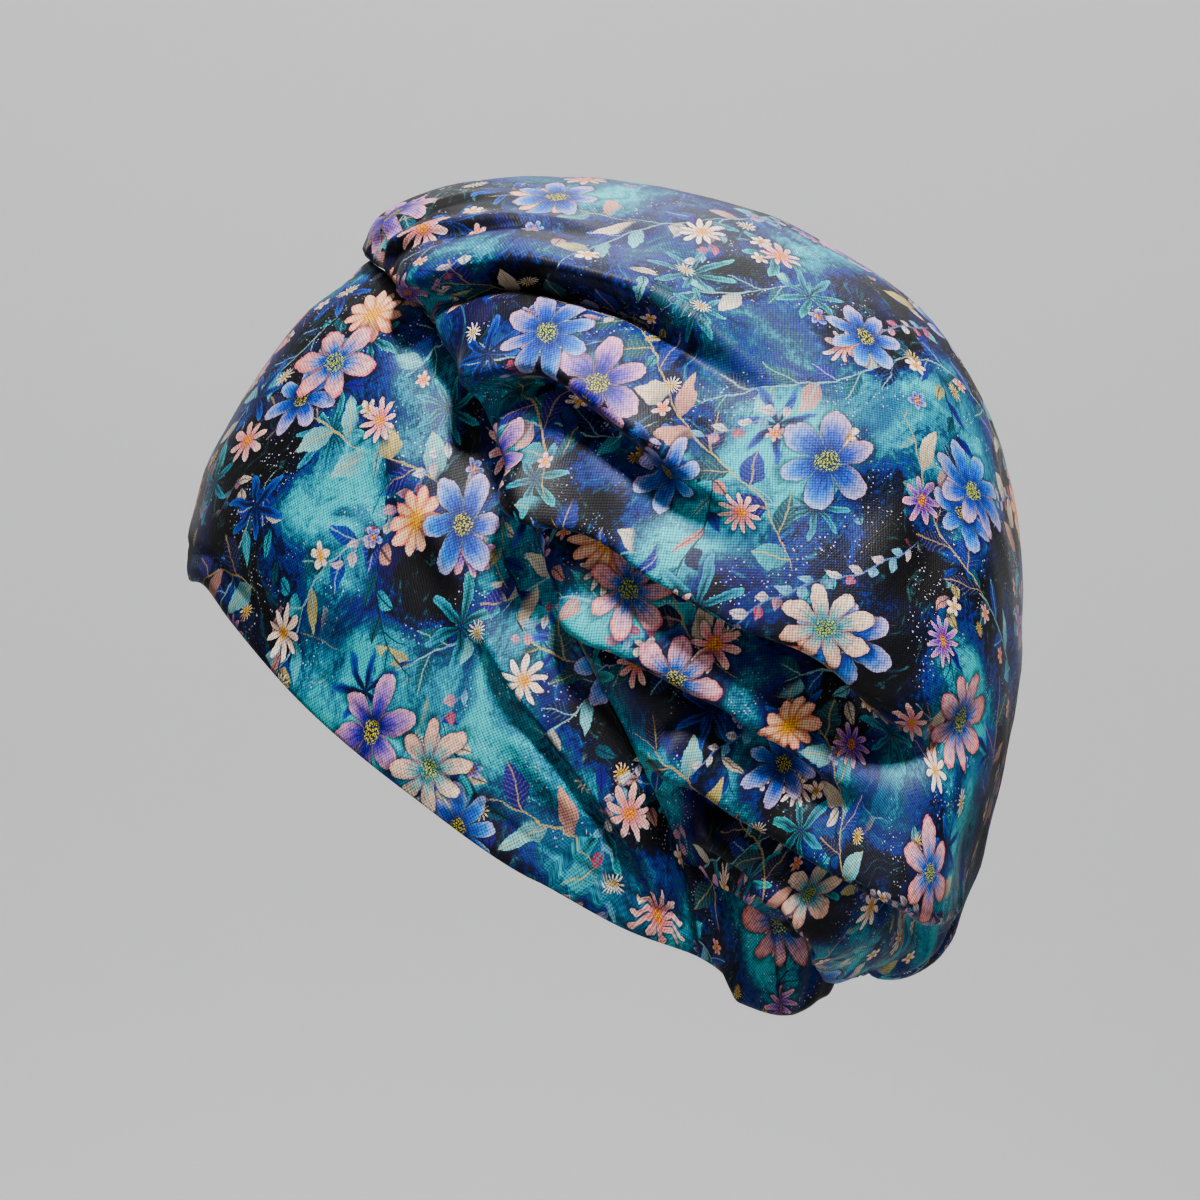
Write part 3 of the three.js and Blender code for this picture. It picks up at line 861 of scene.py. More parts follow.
@dataclass
class Band:
    """The fitted front band, with its soft folds, its turned hem and its seam edge."""

    across: int = 300
    up: int = 76
    wall: float = 1.2
    reach: float = 1.03  # its ends pass the casing's by this part of its length
    tuck: float = 1.4  # and lie this far inside them
    crumple: float = 0.28  # height of its soft random relief
    hem: float = 0.5  # height of its turned hem
    groove: float = 0.45  # and depth of the line above it
    place: tuple[float, float] = (278, 80)  # where on the printed cloth it was cut
    turn: float = 64
    cut: Cut = Cut((0.5, 0.11), 0.037, "stretched", ("casing_cloth",))

    def surface(self) -> Array:
        """Grid of the outer surface: the smooth band with its folds, relief, and a hem of two bell curves."""
        places = np.linspace(-self.reach, self.reach, self.across + 1), np.linspace(0, 1, self.up + 1)
        side, rise = np.meshgrid(*places)
        form = band_form(side, rise, -self.tuck * smooth(0.985, 1.01, np.abs(side)))
        points, normals = form.reshape(-1, 3), normals_of(form).reshape(-1, 3)
        move, _ = Drape(BAND_FOLDS, band_form).push(side.ravel(), points, normals)
        up, down = arc(form, 0), arc(form, 0)[-1] - arc(form, 0)
        fade = (smooth(0, 14, up) * smooth(0, 5, down) * (1 - smooth(0.9, 1, np.abs(side)))).ravel()
        hem = self.hem * ridge(up.ravel(), 3, 2.6) - self.groove * ridge(up.ravel(), 9.5, 1.3)
        relief = Waves(seed=21, shortest=16, longest=60).at(points)
        soft = self.crumple * relief * smooth(0, 8, up).ravel() + hem
        return (points + move * fade[:, None] + soft[:, None] * normals).reshape(form.shape)

    def build(self, materials: Sequence[bpy.types.Material]) -> bpy.types.Object:
        """Makes the band in place of its CAD solid."""
        obj = Panel("band_cloth", self.surface(), self.wall, self.place, self.turn).mesh(materials)
        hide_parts("band")
        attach(obj, BODY)
        self.cut.declare(obj)
        return obj


@dataclass
class NapeCasing:
    """The casing of the elastic: its cloth is drawn up in ruffles, and its foot is scalloped."""

    across: int = 320
    up: int = 28
    wall: float = 1.2
    wrap: float = 0.8  # degrees round the head that its ends lie over the band's
    ruffles: int = 9  # half waves of its ruffles on each side of the head, and their height
    ruffle: float = 1.8
    fine_ruffles: int = 22  # and of the fine ones on them
    fine_ruffle: float = 0.5
    belly: float = 2.4  # how far its middle bulges out over the elastic
    end_lift: float = 1.0  # how far its ends stand off, to clear the band's under them
    scallop: float = 1.0  # how far the ruffles move its foot up and down
    place: tuple[float, float] = (155, 132)  # where on the printed cloth it was cut
    turn: float = -20
    cut: Cut = Cut((0.185, 0.032), 0.0042, "gathered", ("band_cloth",))

    def surface(self) -> Array:
        """Grid of the outer surface, from the wearer's left to the right, so that it faces outwards.

        Cosine ruffles over the nape, two creases on each side as bell curves round slanted lines, and a belly
        that follows the sine of the rise.
        """
        side, rise = np.meshgrid(np.linspace(1, -1, self.across + 1), np.linspace(0, 1, self.up + 1))
        drift = 1.3 * np.sin(5.3 * side) + 0.6 * np.sin(12.7 * side + 1)
        off = np.abs(side)
        fade = 1 - smooth(0.16, 0.4, off)
        ruffle = self.ruffle * np.cos(self.ruffles * np.pi * side + drift) * fade * (1 - 0.45 * rise)
        ruffle = ruffle + self.fine_ruffle * np.cos(self.fine_ruffles * np.pi * side + 2 * drift) * fade
        crease = -2.6 * ridge(off, 0.34 + 0.2 * rise, 0.03) - ridge(off, 0.6 + 0.12 * rise, 0.045)
        belly = self.belly * np.sin(np.pi * rise) ** 0.7
        end = smooth(0.88, 0.98, off)
        wrap = self.wrap * smooth(0.9, 1, off) * np.sign(side)
        form = casing_form(side, rise, ruffle + belly * (1 - 0.8 * end) + crease + self.end_lift * end, wrap)
        form[..., 2] += self.scallop * np.sin(self.ruffles * np.pi * side + drift + 0.8) * fade * (1 - rise)
        return form

    def build(self, materials: Sequence[bpy.types.Material]) -> bpy.types.Object:
        """Makes the casing in place of its CAD solid."""
        obj = Panel("casing_cloth", self.surface(), self.wall, self.place, self.turn).mesh(materials)
        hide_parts("nape_casing")
        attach(obj, BODY)
        self.cut.declare(obj)
        return obj


# ---------------------------------------------------------------- shader arithmetic


def rgb(code: str) -> tuple[float, float, float, float]:
    """Linear colour of a six-figure code."""
    values = [int(code[i : i + 2], 16) / 255 for i in (0, 2, 4)]
    return (*[v / 12.92 if v <= 0.04045 else ((v + 0.055) / 1.055) ** 2.4 for v in values], 1.0)


def math_method(operation: str, swapped: bool = False) -> Callable[..., Value]:
    """Makes a method of Value that adds a Math node.

    Args:
        operation: The node's operation.
        swapped: Whether the Value comes after the other number.

    Returns:
        The method, which takes the other number if the operation has two.
    """

    def method(self: Value, *others: Number) -> Value:
        """Adds the node and gives its result."""
        return self.paint.math(operation, *((*others, self) if swapped else (self, *others)))

    return method


class Value:
    """A number on a shader socket. Arithmetic on it adds Math nodes.

    A power needs a number that isn't negative. over(limit) is 1 where the number is more than the limit and 0
    elsewhere.
    """

    __add__ = __radd__ = math_method("ADD")
    __sub__ = math_method("SUBTRACT")
    __rsub__ = math_method("SUBTRACT", swapped=True)
    __mul__ = __rmul__ = math_method("MULTIPLY")
    __truediv__ = math_method("DIVIDE")
    __pow__ = math_method("POWER")
    __abs__ = math_method("ABSOLUTE")
    sin = math_method("SINE")
    cos = math_method("COSINE")
    floor = math_method("FLOOR")
    over = math_method("GREATER_THAN")

    def __init__(self, paint: Paint, socket: bpy.types.NodeSocket) -> None:
        """Wraps a socket of a paint's nodes."""
        self.paint, self.socket = paint, socket

    def step(self, low: float, high: float) -> Value:
        """Smooth step from 0 at low to 1 at high; low may be the greater."""
        settings = {"interpolation_type": "SMOOTHSTEP", "clamp": True}
        sockets = {"Value": self, "From Min": low, "From Max": high}
        node = self.paint.node("ShaderNodeMapRange", settings, sockets)
        return Value(self.paint, node.outputs["Result"])


Number = Value | float | int


class Paint:
    """The nodes of one material."""

    def __init__(self, name: str) -> None:
        """Makes a material with a Principled surface and nothing else on it."""
        self.material = bpy.data.materials.new(name)
        self.material.use_nodes = True
        self.tree = self.material.node_tree
        self.surface = self.tree.nodes["Principled BSDF"]

    def node(self, kind: str, settings: dict[str, Any], sockets: dict[str | int, Any]) -> bpy.types.Node:
        """Adds a node.

        Args:
            kind: Type of the node.
            settings: Its properties, which are set first.
            sockets: A value or a link for each input, by name or number.

        Returns:
            The node.
        """
        node = self.tree.nodes.new(kind)
        for key, value in settings.items():
            setattr(node, key, value)
        for key, value in sockets.items():
            self.feed(node.inputs[key], value)
        return node

    def feed(self, socket: bpy.types.NodeSocket, value: Any) -> None:
        """Links a value or another socket to an input, or sets a plain one."""
        if isinstance(value, Value):
            value = value.socket
        if isinstance(value, bpy.types.NodeSocket):
            self.tree.links.new(value, socket)
        else:
            socket.default_value = value

    def coated(self, inputs: dict[str, Any]) -> bpy.types.Material:
        """Feeds the surface's inputs by name, and gives the finished material."""
        for name, value in inputs.items():
            self.feed(self.surface.inputs[name], value)
        return self.material

    def math(self, operation: str, *values: Number) -> Value:
        """Math node."""
        node = self.node("ShaderNodeMath", {"operation": operation}, dict(enumerate(values)))
        return Value(self, node.outputs[0])

    def vector(self, operation: str, *values: Any) -> bpy.types.NodeSocket:
        """Vector Math node."""
        return self.node("ShaderNodeVectorMath", {"operation": operation}, dict(enumerate(values))).outputs[0]

    def point(self, x: Number, y: Number = 0.0, z: Number = 0.0) -> bpy.types.NodeSocket:
        """Vector of three numbers."""
        return self.node("ShaderNodeCombineXYZ", {}, {"X": x, "Y": y, "Z": z}).outputs[0]

    def parts(self, vector: Any) -> list[Value]:
        """The three numbers of a vector."""
        return [Value(self, out) for out in self.node("ShaderNodeSeparateXYZ", {}, {0: vector}).outputs]

    def mix(self, share: Number, low: Any, high: Any, blend: str = "MIX") -> bpy.types.NodeSocket:
        """Colour mixed from two."""
        settings = {"data_type": "RGBA", "blend_type": blend, "clamp_factor": True}
        return self.node("ShaderNodeMix", settings, {0: share, 6: low, 7: high}).outputs[2]

    def turned(self, place: Any, turn: float, scale: Any, shift: tuple[float, float] = (0.0, 0.0)) -> Any:
        """A place turned by degrees, scaled and shifted."""
        size = scale if isinstance(scale, tuple) else (scale, scale, scale)
        turns = (0, 0, math.radians(turn))
        sockets = {"Vector": place, "Location": (*shift, 0.0), "Rotation": turns, "Scale": size}
        return self.node("ShaderNodeMapping", {"vector_type": "POINT"}, sockets).outputs[0]

    def noise(self, place: Any, scale: float, detail: float = 2.0, rough: float = 0.5) -> bpy.types.Node:
        """Noise node over a plane."""
        sockets = {"Vector": place, "Scale": scale, "Detail": detail, "Roughness": rough}
        return self.node("ShaderNodeTexNoise", {"noise_dimensions": "2D"}, sockets)

    def blur(self, place: Any, scale: float, detail: float = 2.0, rough: float = 0.5) -> Value:
        """Noise as a number, mostly 0.3 to 0.7."""
        return Value(self, self.noise(place, scale, detail, rough).outputs[0])

    def cells(self, place: Any, scale: float, jitter: float = 1.0) -> bpy.types.Node:
        """Voronoi node over a plane: cells round scattered points."""
        sockets = {"Vector": place, "Scale": scale, "Randomness": jitter}
        return self.node("ShaderNodeTexVoronoi", {"voronoi_dimensions": "2D"}, sockets)

    def ramp(
        self, share: Number, stops: Sequence[tuple[float, str]], hard: bool = False
    ) -> bpy.types.NodeSocket:
        """Colour read from named stops, blended or in hard steps."""
        node = self.node("ShaderNodeValToRGB", {}, {0: share})
        ramp = node.color_ramp
        ramp.interpolation = "CONSTANT" if hard else "EASE"
        while len(ramp.elements) < len(stops):
            ramp.elements.new(0.5)
        for element, (place, code) in zip(ramp.elements, stops):
            element.position = place
        for element, (place, code) in zip(ramp.elements, stops):
            element.color = rgb(code)
        return node.outputs[0]


# ---------------------------------------------------------------- the printed cloth


@dataclass(frozen=True)
class Bloom:
    """One scattered kind of flower or leaf cluster, in millimetres.

    A petal's reach from the middle is its size times (waist + (1 - waist) x wave^point), and the wave is
    (1 + cos(petals x angle)) / 2. Each palette is read from the middle (0) to the petals' tips (1).
    """

    cell: float
    radius: float
    turn: float
    shift: tuple[float, float]
    petals: tuple[float, float]
    waist: float
    point: float
    rare: float  # part of the cells that stay empty
    palettes: tuple[tuple[tuple[float, str], ...], ...]
    heart: float  # its part of the radius
    heart_low: str
    heart_high: str
    vein: str
    veins: float = 5.0
    vein_share: float = 0.4
    jitter: float = 0.55
    halo: float = 0.5
    edge: float = 0.35
    tint: str = "f4b6a6"  # laid on the petals of one side


@dataclass(frozen=True)
class Vine:
    """Rows of leaved stems, in millimetres."""

    gap: float
    pitch: float
    length: float
    width: float
    turn: float
    shift: tuple[float, float]
    bare: float  # noise level under which a stretch of stem is missing
    stem: str
    leaves: tuple[tuple[float, str], ...]
    lean: float = 48.0
    sway: float = 3.2


BLUSH = ((0.0, "0b2468"), (0.22, "2c5cb4"), (0.42, "8b9ed2"), (0.64, "dcb6c6"), (0.86, "f4c8c6"),
         (1.0, "e48c9e"))
CREAM = ((0.0, "14506e"), (0.22, "3f93a6"), (0.46, "a9c6bd"), (0.7, "efdac6"), (0.88, "fae8d4"),
         (1.0, "f3cfc0"))
BLUE = ((0.0, "0a1030"), (0.25, "15388f"), (0.5, "2f6bc8"), (0.75, "6da2e2"), (0.92, "a9c3ec"),
        (1.0, "c5b4e0"))
VIOLET = ((0.0, "101846"), (0.25, "3b3596"), (0.5, "7a6cc4"), (0.75, "b79ad0"), (1.0, "f0bfcf"))
ROSE = ((0.0, "d9922f"), (0.22, "e39a90"), (0.5, "eeb3b4"), (0.8, "f5d0cb"), (1.0, "f8e6de"))
WHITE = ((0.0, "e0a63e"), (0.25, "efd9b0"), (0.55, "faefdc"), (1.0, "fffaf0"))
GOLD = ((0.0, "7a5a1c"), (0.4, "e6c463"), (1.0, "fdf0bd"))
TEAL = ((0.0, "083844"), (0.35, "0f6c7a"), (0.7, "239aa2"), (1.0, "63c6c4"))
INK = ((0.0, "0b1030"), (0.45, "172a70"), (0.8, "2450b0"), (1.0, "4f7fce"))
PEONY = ((0.0, "f2b64a"), (0.25, "f8cf8f"), (0.6, "fbd9bb"), (0.85, "f9c4ae"), (1.0, "f2998e"))

# The ground's washes, from near black through navy and royal blue to teal, and what is brushed on them.
GROUND = ((0.38, "0f0b12"), (0.445, "0c1440"), (0.5, "0b3c92"), (0.545, "035a7a"), (0.605, "1092a8"),
          (0.7, "64c6cc"))
PURPLE = "33226e"
MIST = "7ecdd0"
NIGHT = "090d2c"
SPECK = "e6dff0"
HALO = "0c1230"  # darkens the ground round a flower
GLAZE = "fff8ee"  # lightens a petal unevenly, and LEAF_GLAZE a leaf
LEAF_GLAZE = "f4f6ec"
LEAF_FOOT = "0f2f5c"  # darkens a leaf at its foot
# painted shade: near black laid between the threads, for the shade in the weave's gaps
THREAD_GAP_SHADE = "020308"

BLOOMS = (
    Bloom(33, 12.5, 24, (3.1, 7.7), (6, 3), 0.1, 1.6, 0.35, (TEAL, INK, INK, TEAL), 0.05, "1a2a6c", "2b50a8",
          "070b22", 1, 0.9, 0.6, 0.2, tint="3f7fc0"),
    Bloom(23, 3.4, -38, (8.3, 2.9), (11, 5), 0.2, 1.1, 0.66, (GOLD, WHITE), 0.3, "7a5a1c", "f3cf5c", "6b4a2a",
          1, 0.2, 0.8, 0.2),
    Bloom(16, 3.4, 61, (5.3, 1.9), (5, 2), 0.4, 0.45, 0.7, (ROSE, WHITE, BLUE, WHITE), 0.3, "d98a2b",
          "f3cf5c", "c96f73", 1, 0.3, 0.8, 0.35),
    Bloom(29, 7.6, -17, (9.7, 4.3), (8, 4), 0.2, 0.5, 0.6, (ROSE, WHITE, VIOLET, ROSE), 0.22, "d4862a",
          "f2c65a", "b0526e", 1, 0.5, 0.6, 0.5),
    Bloom(77, 10.5, 52, (4.4, 6.3), (9, 4), 0.72, 0.6, 0.4, (PEONY, PEONY), 0.2, "e8a63a", "f7d36a", "c8604e",
          3, 0.45, 0.6, 0.5, tint="fff1d8"),
    Bloom(57, 14.5, 9, (2.2, 8.1), (6, 3), 0.26, 0.34, 0.3, (BLUE, BLUSH, BLUE, VIOLET), 0.2, "1c3a3c",
          "d9cf5e", "0a1238", 5, 0.8, 0.5, 0.6, tint="f0b7cf"),
    Bloom(60, 15.5, 38, (6.6, 1.4), (6, 3), 0.28, 0.32, 0.42, (CREAM, BLUSH, BLUE, BLUSH), 0.21, "14504f",
          "cdd167", "1d3566", 5, 0.8, 0.5, 0.6, tint="f3a08f"),
)
LEAVES = ((0.0, "0d6672"), (0.14, "e9d9c4"), (0.24, "1a3f9c"), (0.38, "4fb0bd"), (0.5, "dba99f"),
          (0.57, "121c58"), (0.7, "8fc9cc"), (0.82, "4a3f96"), (0.94, "cdbf86"))
BUDS = ((0.0, "f0d6ce"), (0.25, "cf6f78"), (0.45, "f4e8da"), (0.65, "e2a5a6"), (0.85, "8fc7d6"))
VINES = (
    Vine(35, 12.5, 12.5, 2.7, 33, (11, 4), 0.43, "9fc0c4", LEAVES),
    Vine(41, 9.5, 9.0, 1.9, -52, (3, 19), 0.45, "0d1734", LEAVES, 40.0, 4.4),
    Vine(49, 15.0, 15.5, 3.4, 95, (23, 8), 0.46, "c4b083", LEAVES, 50.0, 3.6),
    Vine(53, 6.4, 5.2, 1.5, 8, (31, 27), 0.47, "7f93b8", BUDS, 44.0, 2.6),
)


class Side(Enum):
    """The two sides of the printed cloth."""

    RIGHT = "right side"
    WRONG = "wrong side"


@dataclass(frozen=True)
class Spot:
    """Nearest scattered spot: the way to it and its own random numbers."""

    far: Value
    angle: Value
    chance: tuple[Value, Value, Value]


@dataclass(frozen=True)
class PrintedCotton:
    """Fine woven cotton, printed with loose watercolour flowers on a dark, mottled ground."""

    side: Side
    weave: float = 1.25  # millimetres from one thread to the next, on the slant
    slant: float = 58.0  # degrees
    finer: float = 1.15  # how much closer the threads lie across and along
    twill: float = 0.15  # part of the relief that runs on the slant
    # painted shade in the weave's gaps: how far the print is darkened between the threads
    painted_gap_shade: float = 0.55  # how dark the print is between the threads
    relief: float = 0.45  # strength of the threads' relief, and its height in millimetres
    relief_height: float = 0.12
    roughness: float = 0.54
    specular: float = 0.2
    sheen: float = 0.03
    sheen_roughness: float = 0.4
    wash_width: float = 1.7  # millimetres across a patch of the fine watercolour noise
    wander: float = 3.2  # how far the drawing wanders, over patches of the next width, in millimetres
    wander_width: float = 9
    heart_dots: float = 1.7  # dots of a flower's heart for each millimetre, and specks of the ground
    specks: float = 0.9
    contrast: float = 1.4  # power that the painted colours are raised to
    saturation: float = 1.12
    wrong_side: str = "c9d2d6"  # tint of the unprinted side, and how much of it there is
    wrong_share: float = 0.55

    def spot(self, paint: Paint, place: Any, kind: Bloom) -> Spot:
        """Distance in millimetres, angle and random numbers of the nearest spot of a jittered grid."""
        turned = paint.turned(place, kind.turn, 1 / kind.cell, kind.shift)
        cells = paint.cells(turned, 1.0, kind.jitter)
        x, y, _ = paint.parts(paint.vector("SUBTRACT", turned, cells.outputs["Position"]))
        far = paint.math("SQRT", x * x + y * y) * kind.cell
        return Spot(far, paint.math("ARCTAN2", y, x), tuple(paint.parts(cells.outputs["Color"])))

    def bloom(self, paint: Paint, under: Any, place: Any, wash: Value, kind: Bloom) -> Any:
        """Paints one kind of flower over a colour: its dark halo, its petals and its heart.

        The petals' reach follows the kind's formula, a little uneven. Across them the palette runs from the
        middle to the tips, one side is tinted, cosine veins darken them from the heart outwards, and so do
        the gaps between them. A fine grain of dots makes the heart.

        Args:
            paint: The material's nodes.
            under: Colour under the flowers.
            place: Place on the cloth in millimetres.
            wash: Fine watercolour noise.
            kind: Which flower.

        Returns:
            The colour with the flowers on it.
        """
        spot = self.spot(paint, place, kind)
        one, two, three = spot.chance
        size = (0.82 + 0.3 * two) * kind.radius
        petals = (three * kind.petals[1] + kind.petals[0]).floor()
        angle = spot.angle + one * 6.3
        wave = 0.5 + 0.5 * (angle * petals).cos()
        uneven = 0.94 + 0.09 * (angle * 2 + two * 9).sin() + 0.08 * (wash - 0.5)
        reach = size * uneven * (wave**kind.point * (1 - kind.waist) + kind.waist)
        here = one.over(kind.rare)
        gap = reach - spot.far
        tone = spot.far / reach
        color = paint.ramp(tone, kind.palettes[0])
        for i, palette in enumerate(kind.palettes[1:], 1):
            pick = two.over(i / len(kind.palettes))
            color = paint.mix(pick, color, paint.ramp(tone, palette))
        lines = (0.5 + 0.5 * (angle * petals * kind.veins).cos()) ** (9 if kind.veins > 1 else 50)
        tinted = (0.5 + 0.5 * (angle + two * 11).cos()) * tone.step(0.3, 1.0) * 0.45
        color = paint.mix(tinted, color, rgb(kind.tint))
        dark = lines * tone.step(1.05, 0.2) * kind.vein_share + (1 - wave) ** 3 * 0.6
        color = paint.mix(dark, color, rgb(kind.vein))
        color = paint.mix(wash.step(0.55, 0.3) * 0.3, color, rgb(kind.vein))
        color = paint.mix(wash.step(0.5, 0.72) * 0.25, color, rgb(GLAZE), "SOFT_LIGHT")
        grain = paint.cells(place, self.heart_dots)
        dots = Value(paint, grain.outputs["Distance"]).step(0.5, 0.2)
        heart = paint.mix(dots, rgb(kind.heart_low), rgb(kind.heart_high))
        core = (size * kind.heart * (0.6 + 0.8 * wash) - spot.far).step(-0.5, 0.5) * (0.35 + 0.65 * dots)
        color = paint.mix(core, color, heart)
        under = paint.mix(gap.step(-3.2, 0.2) * here * kind.halo, under, rgb(HALO))
        return paint.mix(gap.step(0, kind.edge) * here, under, color)

    def vine(self, paint: Paint, under: Any, place: Any, wash: Value, kind: Vine) -> Any:
        """Paints leaved stems over a colour: leaves stand alternately on the two sides of a swaying line.

        The line sways by two sine waves. A leaf's half width is its width times a lopsided bow of the place
        along it, with its own length, colour, midrib and slanted ribs. Where a noise is under the kind's
        level nothing grows.

        Args:
            paint: The material's nodes.
            under: Colour under the leaves.
            place: Place on the cloth in millimetres.
            wash: Fine watercolour noise.
            kind: Which vine.

        Returns:
            The colour with the vines on it.
        """
        x, y, _ = paint.parts(paint.turned(place, kind.turn, 1.0, kind.shift))
        y = y + (x / 11).sin() * kind.sway + (x / 29 + 1).sin() * kind.sway * 1.6
        row = (y / kind.gap).floor()
        off = y - (row + 0.5) * kind.gap
        x = x + row * 37.7
        hand = off.over(0)
        out = abs(off)
        x = x + hand * (kind.pitch / 2)
        index = (x / kind.pitch).floor()
        near = x - index * kind.pitch - 0.6
        lean = math.radians(kind.lean)
        along = near * math.cos(lean) + out * math.sin(lean)
        across = abs(out * math.cos(lean) - near * math.sin(lean))
        seed = paint.point(index, row, hand)
        chance = paint.node("ShaderNodeTexWhiteNoise", {"noise_dimensions": "3D"}, {"Vector": seed})
        luck = Value(paint, chance.outputs["Value"])
        size = (0.72 + 0.28 * luck) * kind.length
        t = paint.math("MINIMUM", along / size, 1.0)
        bow = paint.math("MAXIMUM", t * (1 - t) * (1 - t * 0.55) * 5.1, 0) ** 1.05
        there = paint.blur(paint.point(x / 46, row * 3.7), 1.0, 0).step(kind.bare, kind.bare + 0.03)
        inside = (bow * kind.width * (0.85 + 0.3 * wash) - across).step(-0.05, 0.3) * there
        pick = paint.parts(chance.outputs["Color"])[1]
        leaf = paint.ramp(pick, kind.leaves, hard=True)
        leaf = paint.mix(t.step(0.9, 0.0) * 0.45, leaf, rgb(LEAF_FOOT))
        leaf = paint.mix(wash.step(0.45, 0.7) * 0.5, leaf, rgb(LEAF_GLAZE), "SOFT_LIGHT")
        ribs = (0.5 + 0.5 * ((along - across * 0.8) * 4.2).cos()) ** 6
        leaf = paint.mix(ribs * 0.28, leaf, rgb(kind.stem))
        leaf = paint.mix(across.step(0.32, 0.1) * 0.75, leaf, rgb(kind.stem))
        stalk = out.step(0.42, 0.2) * there
        return paint.mix(inside, paint.mix(stalk * 0.85, under, rgb(kind.stem)), leaf)

    def ground(self, paint: Paint, place: Any, wash: Value) -> Any:
        """Mottled ground: bent noise read through the washes, with purple patches, brush strokes and specks.

        Args:
            paint: The material's nodes.
            place: Place on the cloth in millimetres.
            wash: Fine watercolour noise.

        Returns:
            The colour of the ground. Each noise's scale is 1 over the width of its patches in millimetres.
        """
        bend = paint.noise(place, 1 / 38, 2).outputs["Color"]
        bent = paint.vector("ADD", place, paint.vector("MULTIPLY", bend, (46.0, 46.0, 0.0)))
        wide = paint.blur(bent, 1 / 54, 3, 0.55)
        color = paint.ramp(wide + 0.22 * (wash - 0.5), GROUND)
        purple = paint.blur(paint.turned(bent, 40, 1.0, (90, 30)), 1 / 34, 2).step(0.56, 0.66)
        color = paint.mix(purple * (0.2 + 0.6 * wash), color, rgb(PURPLE))
        brush = paint.blur(paint.turned(bent, 25, (0.5, 1.3, 1), (5, 5)), 1 / 3.4, 4, 0.7)
        color = paint.mix(brush.step(0.55, 0.8) * 0.4, color, rgb(MIST))
        color = paint.mix(brush.step(0.47, 0.25) * 0.6, color, rgb(NIGHT))
        dust = paint.cells(place, self.specks)
        size = paint.parts(dust.outputs["Color"])[0]
        dots = ((size - 0.55) * 0.6 - Value(paint, dust.outputs["Distance"])).step(0.0, 0.09)
        patch = paint.blur(paint.turned(place, 15, 1.0, (33, 71)), 1 / 19, 2).step(0.5, 0.6)
        return paint.mix(dots * patch * 0.85, color, rgb(SPECK))

    def material(self) -> bpy.types.Material:
        """Makes the material: the ground, the vines and blooms laid over it, the weave, and a soft sheen.

        The weave is the product of two sine waves, across and along, with a little of a third on the slant.
        It darkens the print between the threads as painted shade in the weave's gaps, and raises the surface,
        with thin slubs along the threads.
        """
        paint = Paint(f"printed_cotton_{self.side.name.lower()}")
        uv = paint.node("ShaderNodeUVMap", {"uv_map": "cloth"}, {}).outputs[0]
        place = paint.vector("MULTIPLY", uv, (1 / MM, 1 / MM, 0.0))
        wash = paint.blur(place, 1 / self.wash_width, 4, 0.6)
        shake = paint.noise(place, 1 / self.wander_width, 3).outputs["Color"]
        drawn = paint.vector("ADD", place, paint.vector("MULTIPLY", shake, (self.wander, self.wander, 0.0)))
        color = self.ground(paint, place, wash)
        for kind in (*VINES[:2], *BLOOMS[:2], *VINES[2:], *BLOOMS[2:]):
            lay = self.vine if isinstance(kind, Vine) else self.bloom
            color = lay(paint, color, drawn, wash, kind)
        pace = 2 * math.pi / self.weave
        lines = paint.parts(paint.turned(place, self.slant, pace))[0].sin()
        warp, weft, _ = paint.parts(paint.turned(place, 0, pace * self.finer))
        threads = lines * self.twill + warp.sin() * weft.sin() * (1 - self.twill)
        slub = paint.blur(paint.turned(place, 0, (0.12, 1.9, 1)), 1.0, 2)
        # painted shade: the print darkened in the gaps between the threads
        color = paint.mix(threads.step(0.45, -0.7) * self.painted_gap_shade, color, rgb(THREAD_GAP_SHADE))
        color = paint.node("ShaderNodeGamma", {}, {"Color": color, "Gamma": self.contrast}).outputs[0]
        richer = {"Saturation": self.saturation, "Color": color}
        color = paint.node("ShaderNodeHueSaturation", {}, richer).outputs[0]
        if self.side is Side.WRONG:
            color = paint.mix(self.wrong_share, color, rgb(self.wrong_side))
        height = threads * 0.5 + slub * 1.2 + wash * 0.4
        relief = {"Strength": self.relief, "Distance": self.relief_height * MM, "Height": height}
        return paint.coated({
            "Base Color": color,
            "Roughness": self.roughness + 0.12 * (slub - 0.5) - 0.05 * threads,
            "Normal": paint.node("ShaderNodeBump", {}, relief).outputs[0],
            "Sheen Weight": self.sheen,
            "Sheen Roughness": self.sheen_roughness,
            "Specular IOR Level": self.specular,
        })


# ---------------------------------------------------------------- studio


@dataclass(frozen=True)
class FloorPaint:
    """Plain pale paint, which shows as pale where the lamps don't reach it."""

    shade: float = 0.8
    roughness: float = 0.5
    glow: float = 0.3  # added where it is seen directly, so that it lights nothing

    def material(self) -> bpy.types.Material:
        """Makes the material."""
        paint = Paint("floor_paint")
        seen = Value(paint, paint.node("ShaderNodeLightPath", {}, {}).outputs["Is Camera Ray"])
        return paint.coated({
            "Base Color": (self.shade, self.shade, self.shade, 1),
            "Roughness": self.roughness,
            "Emission Color": (1, 1, 1, 1),
            "Emission Strength": seen * self.glow,
        })


@dataclass(frozen=True)
class Lamp:
    """Square soft lamp at a place from the cap's middle, that looks at a mark."""

    name: str
    place: tuple[float, float, float]
    size: float
    watts: float
    spread: float = 60.0
    mark: tuple[float, float, float] = (0.0, 0.0, 0.0)

    def light(self, aim: Vector) -> None:
        """Puts the lamp into the scene."""
        data = bpy.data.lights.new(self.name, "AREA")
        data.shape, data.size, data.energy = "SQUARE", self.size, self.watts
        data.spread = math.radians(self.spread)
        obj = in_scene(self.name, data)
        obj.location = aim + Vector(self.place)
        obj.rotation_euler = (Vector(self.mark) - Vector(self.place)).to_track_quat("-Z", "Y").to_euler()


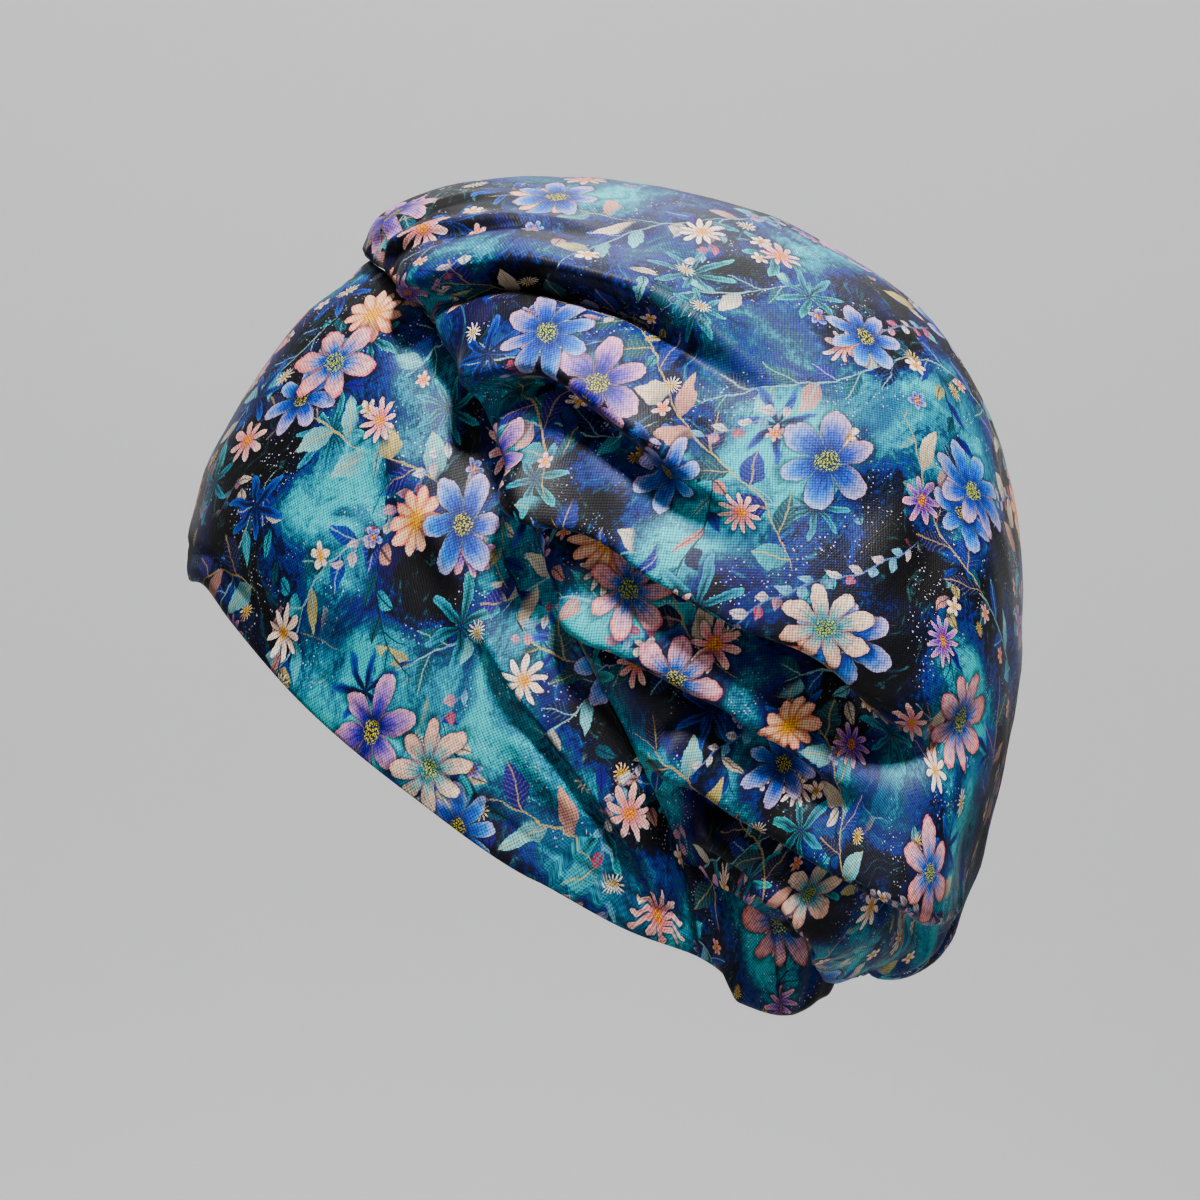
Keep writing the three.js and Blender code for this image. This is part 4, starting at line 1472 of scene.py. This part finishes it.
@dataclass
class Studio:
    """Camera, floor, lamps and the light all round, in metres."""

    aim: Vector
    width: float = 0.336  # of the view at the aim
    distance: float = VIEW_DISTANCE * MM
    elevation: float = 1.5
    floor_drop: float = 0.9  # from the cap's foot to the floor
    floor_reach: float = 6.0
    bend: float = 0.9  # radius of the curve between the floor and the backdrop
    backdrop: float = 2.2  # how far behind the cap it stands, and its height
    backdrop_height: float = 4.0
    ambient: float = 0.07
    sky: tuple[float, float, float, float] = (0.92, 0.95, 1, 1)
    wall: float = 0.4  # how bright it shows past the floor's edge
    lamps: tuple[Lamp, ...] = (
        Lamp("key", (0.85, 0.2, 1.25), 0.22, 8.6),
        Lamp("fill", (1.3, -0.1, -0.25), 0.6, 0.7),
        Lamp("rim", (-0.7, 0.2, 1.0), 0.6, 0.9),
        Lamp("backdrop lamp", (-0.9, 0, 1.6), 1.5, 30, 180, (-2.4, 0, -0.1)),
    )

    def camera(self) -> None:
        """Puts the camera on the wearer's left, looking across the cap."""
        data = bpy.data.cameras.new("camera")
        data.lens = data.sensor_width * self.distance / self.width
        data.clip_start, data.clip_end = 0.05, 30
        cam = in_scene("camera", data)
        e = math.radians(self.elevation)
        back = Vector((math.cos(e), 0, math.sin(e)))
        cam.location = self.aim + back * self.distance
        cam.rotation_euler = (-back).to_track_quat("-Z", "Y").to_euler()
        bpy.context.scene.camera = cam

    def floor(self, foot: float) -> None:
        """Pale floor under a foot's height: a flat, a quarter circle and an upright."""
        z, reach = foot - self.floor_drop, self.floor_reach
        turn = np.linspace(0, np.pi / 2, 33)
        start = self.bend - self.backdrop
        bend = np.c_[start - self.bend * np.sin(turn), z + self.bend * (1 - np.cos(turn))]
        line = np.vstack([[reach, z], bend, [-self.backdrop, z + self.backdrop_height]])
        edges = [np.c_[line[:, 0], np.full(len(line), y), line[:, 1]] for y in (-reach, reach)]
        data, _ = grid_mesh("floor", np.stack(edges, 1))
        data.materials.append(FloorPaint().material())
        obj = in_scene("floor", data)
        obj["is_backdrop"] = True

    def lights(self) -> None:
        """Key from above and a little behind, a weak fill from below, a rim lamp and one for the backdrop."""
        for lamp in self.lamps:
            lamp.light(self.aim)

    def world(self) -> None:
        """Weak, even light from all round, which shows as a pale wall past the floor's edge."""
        world = bpy.data.worlds.new("studio")
        bpy.context.scene.world = world
        world.use_nodes = True
        nodes, links = world.node_tree.nodes, world.node_tree.links
        light, wall = nodes["Background"], nodes.new("ShaderNodeBackground")
        both = nodes.new("ShaderNodeMixShader")
        light.inputs["Color"].default_value = self.sky
        light.inputs["Strength"].default_value = self.ambient
        wall.inputs["Strength"].default_value = self.wall
        links.new(nodes.new("ShaderNodeLightPath").outputs["Is Camera Ray"], both.inputs[0])
        links.new(light.outputs[0], both.inputs[1])
        links.new(wall.outputs[0], both.inputs[2])
        links.new(both.outputs[0], nodes["World Output"].inputs["Surface"])


def main() -> None:
    """Builds the cap and its studio."""
    logging.basicConfig(level=logging.INFO)
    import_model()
    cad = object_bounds()
    studio = Studio(Vector((0, *VIEW_MIDDLE)) * MM)
    studio.camera()
    right, wrong = PrintedCotton(Side.RIGHT).material(), PrintedCotton(Side.WRONG).material()
    for piece in (Crown(), Band(), NapeCasing()):
        obj = piece.build((right, wrong))
        log.info("%s: %d faces", obj.name, len(obj.data.polygons))
    studio.floor(cad[0].z)
    studio.lights()
    studio.world()


if __name__ == "__main__":
    main()
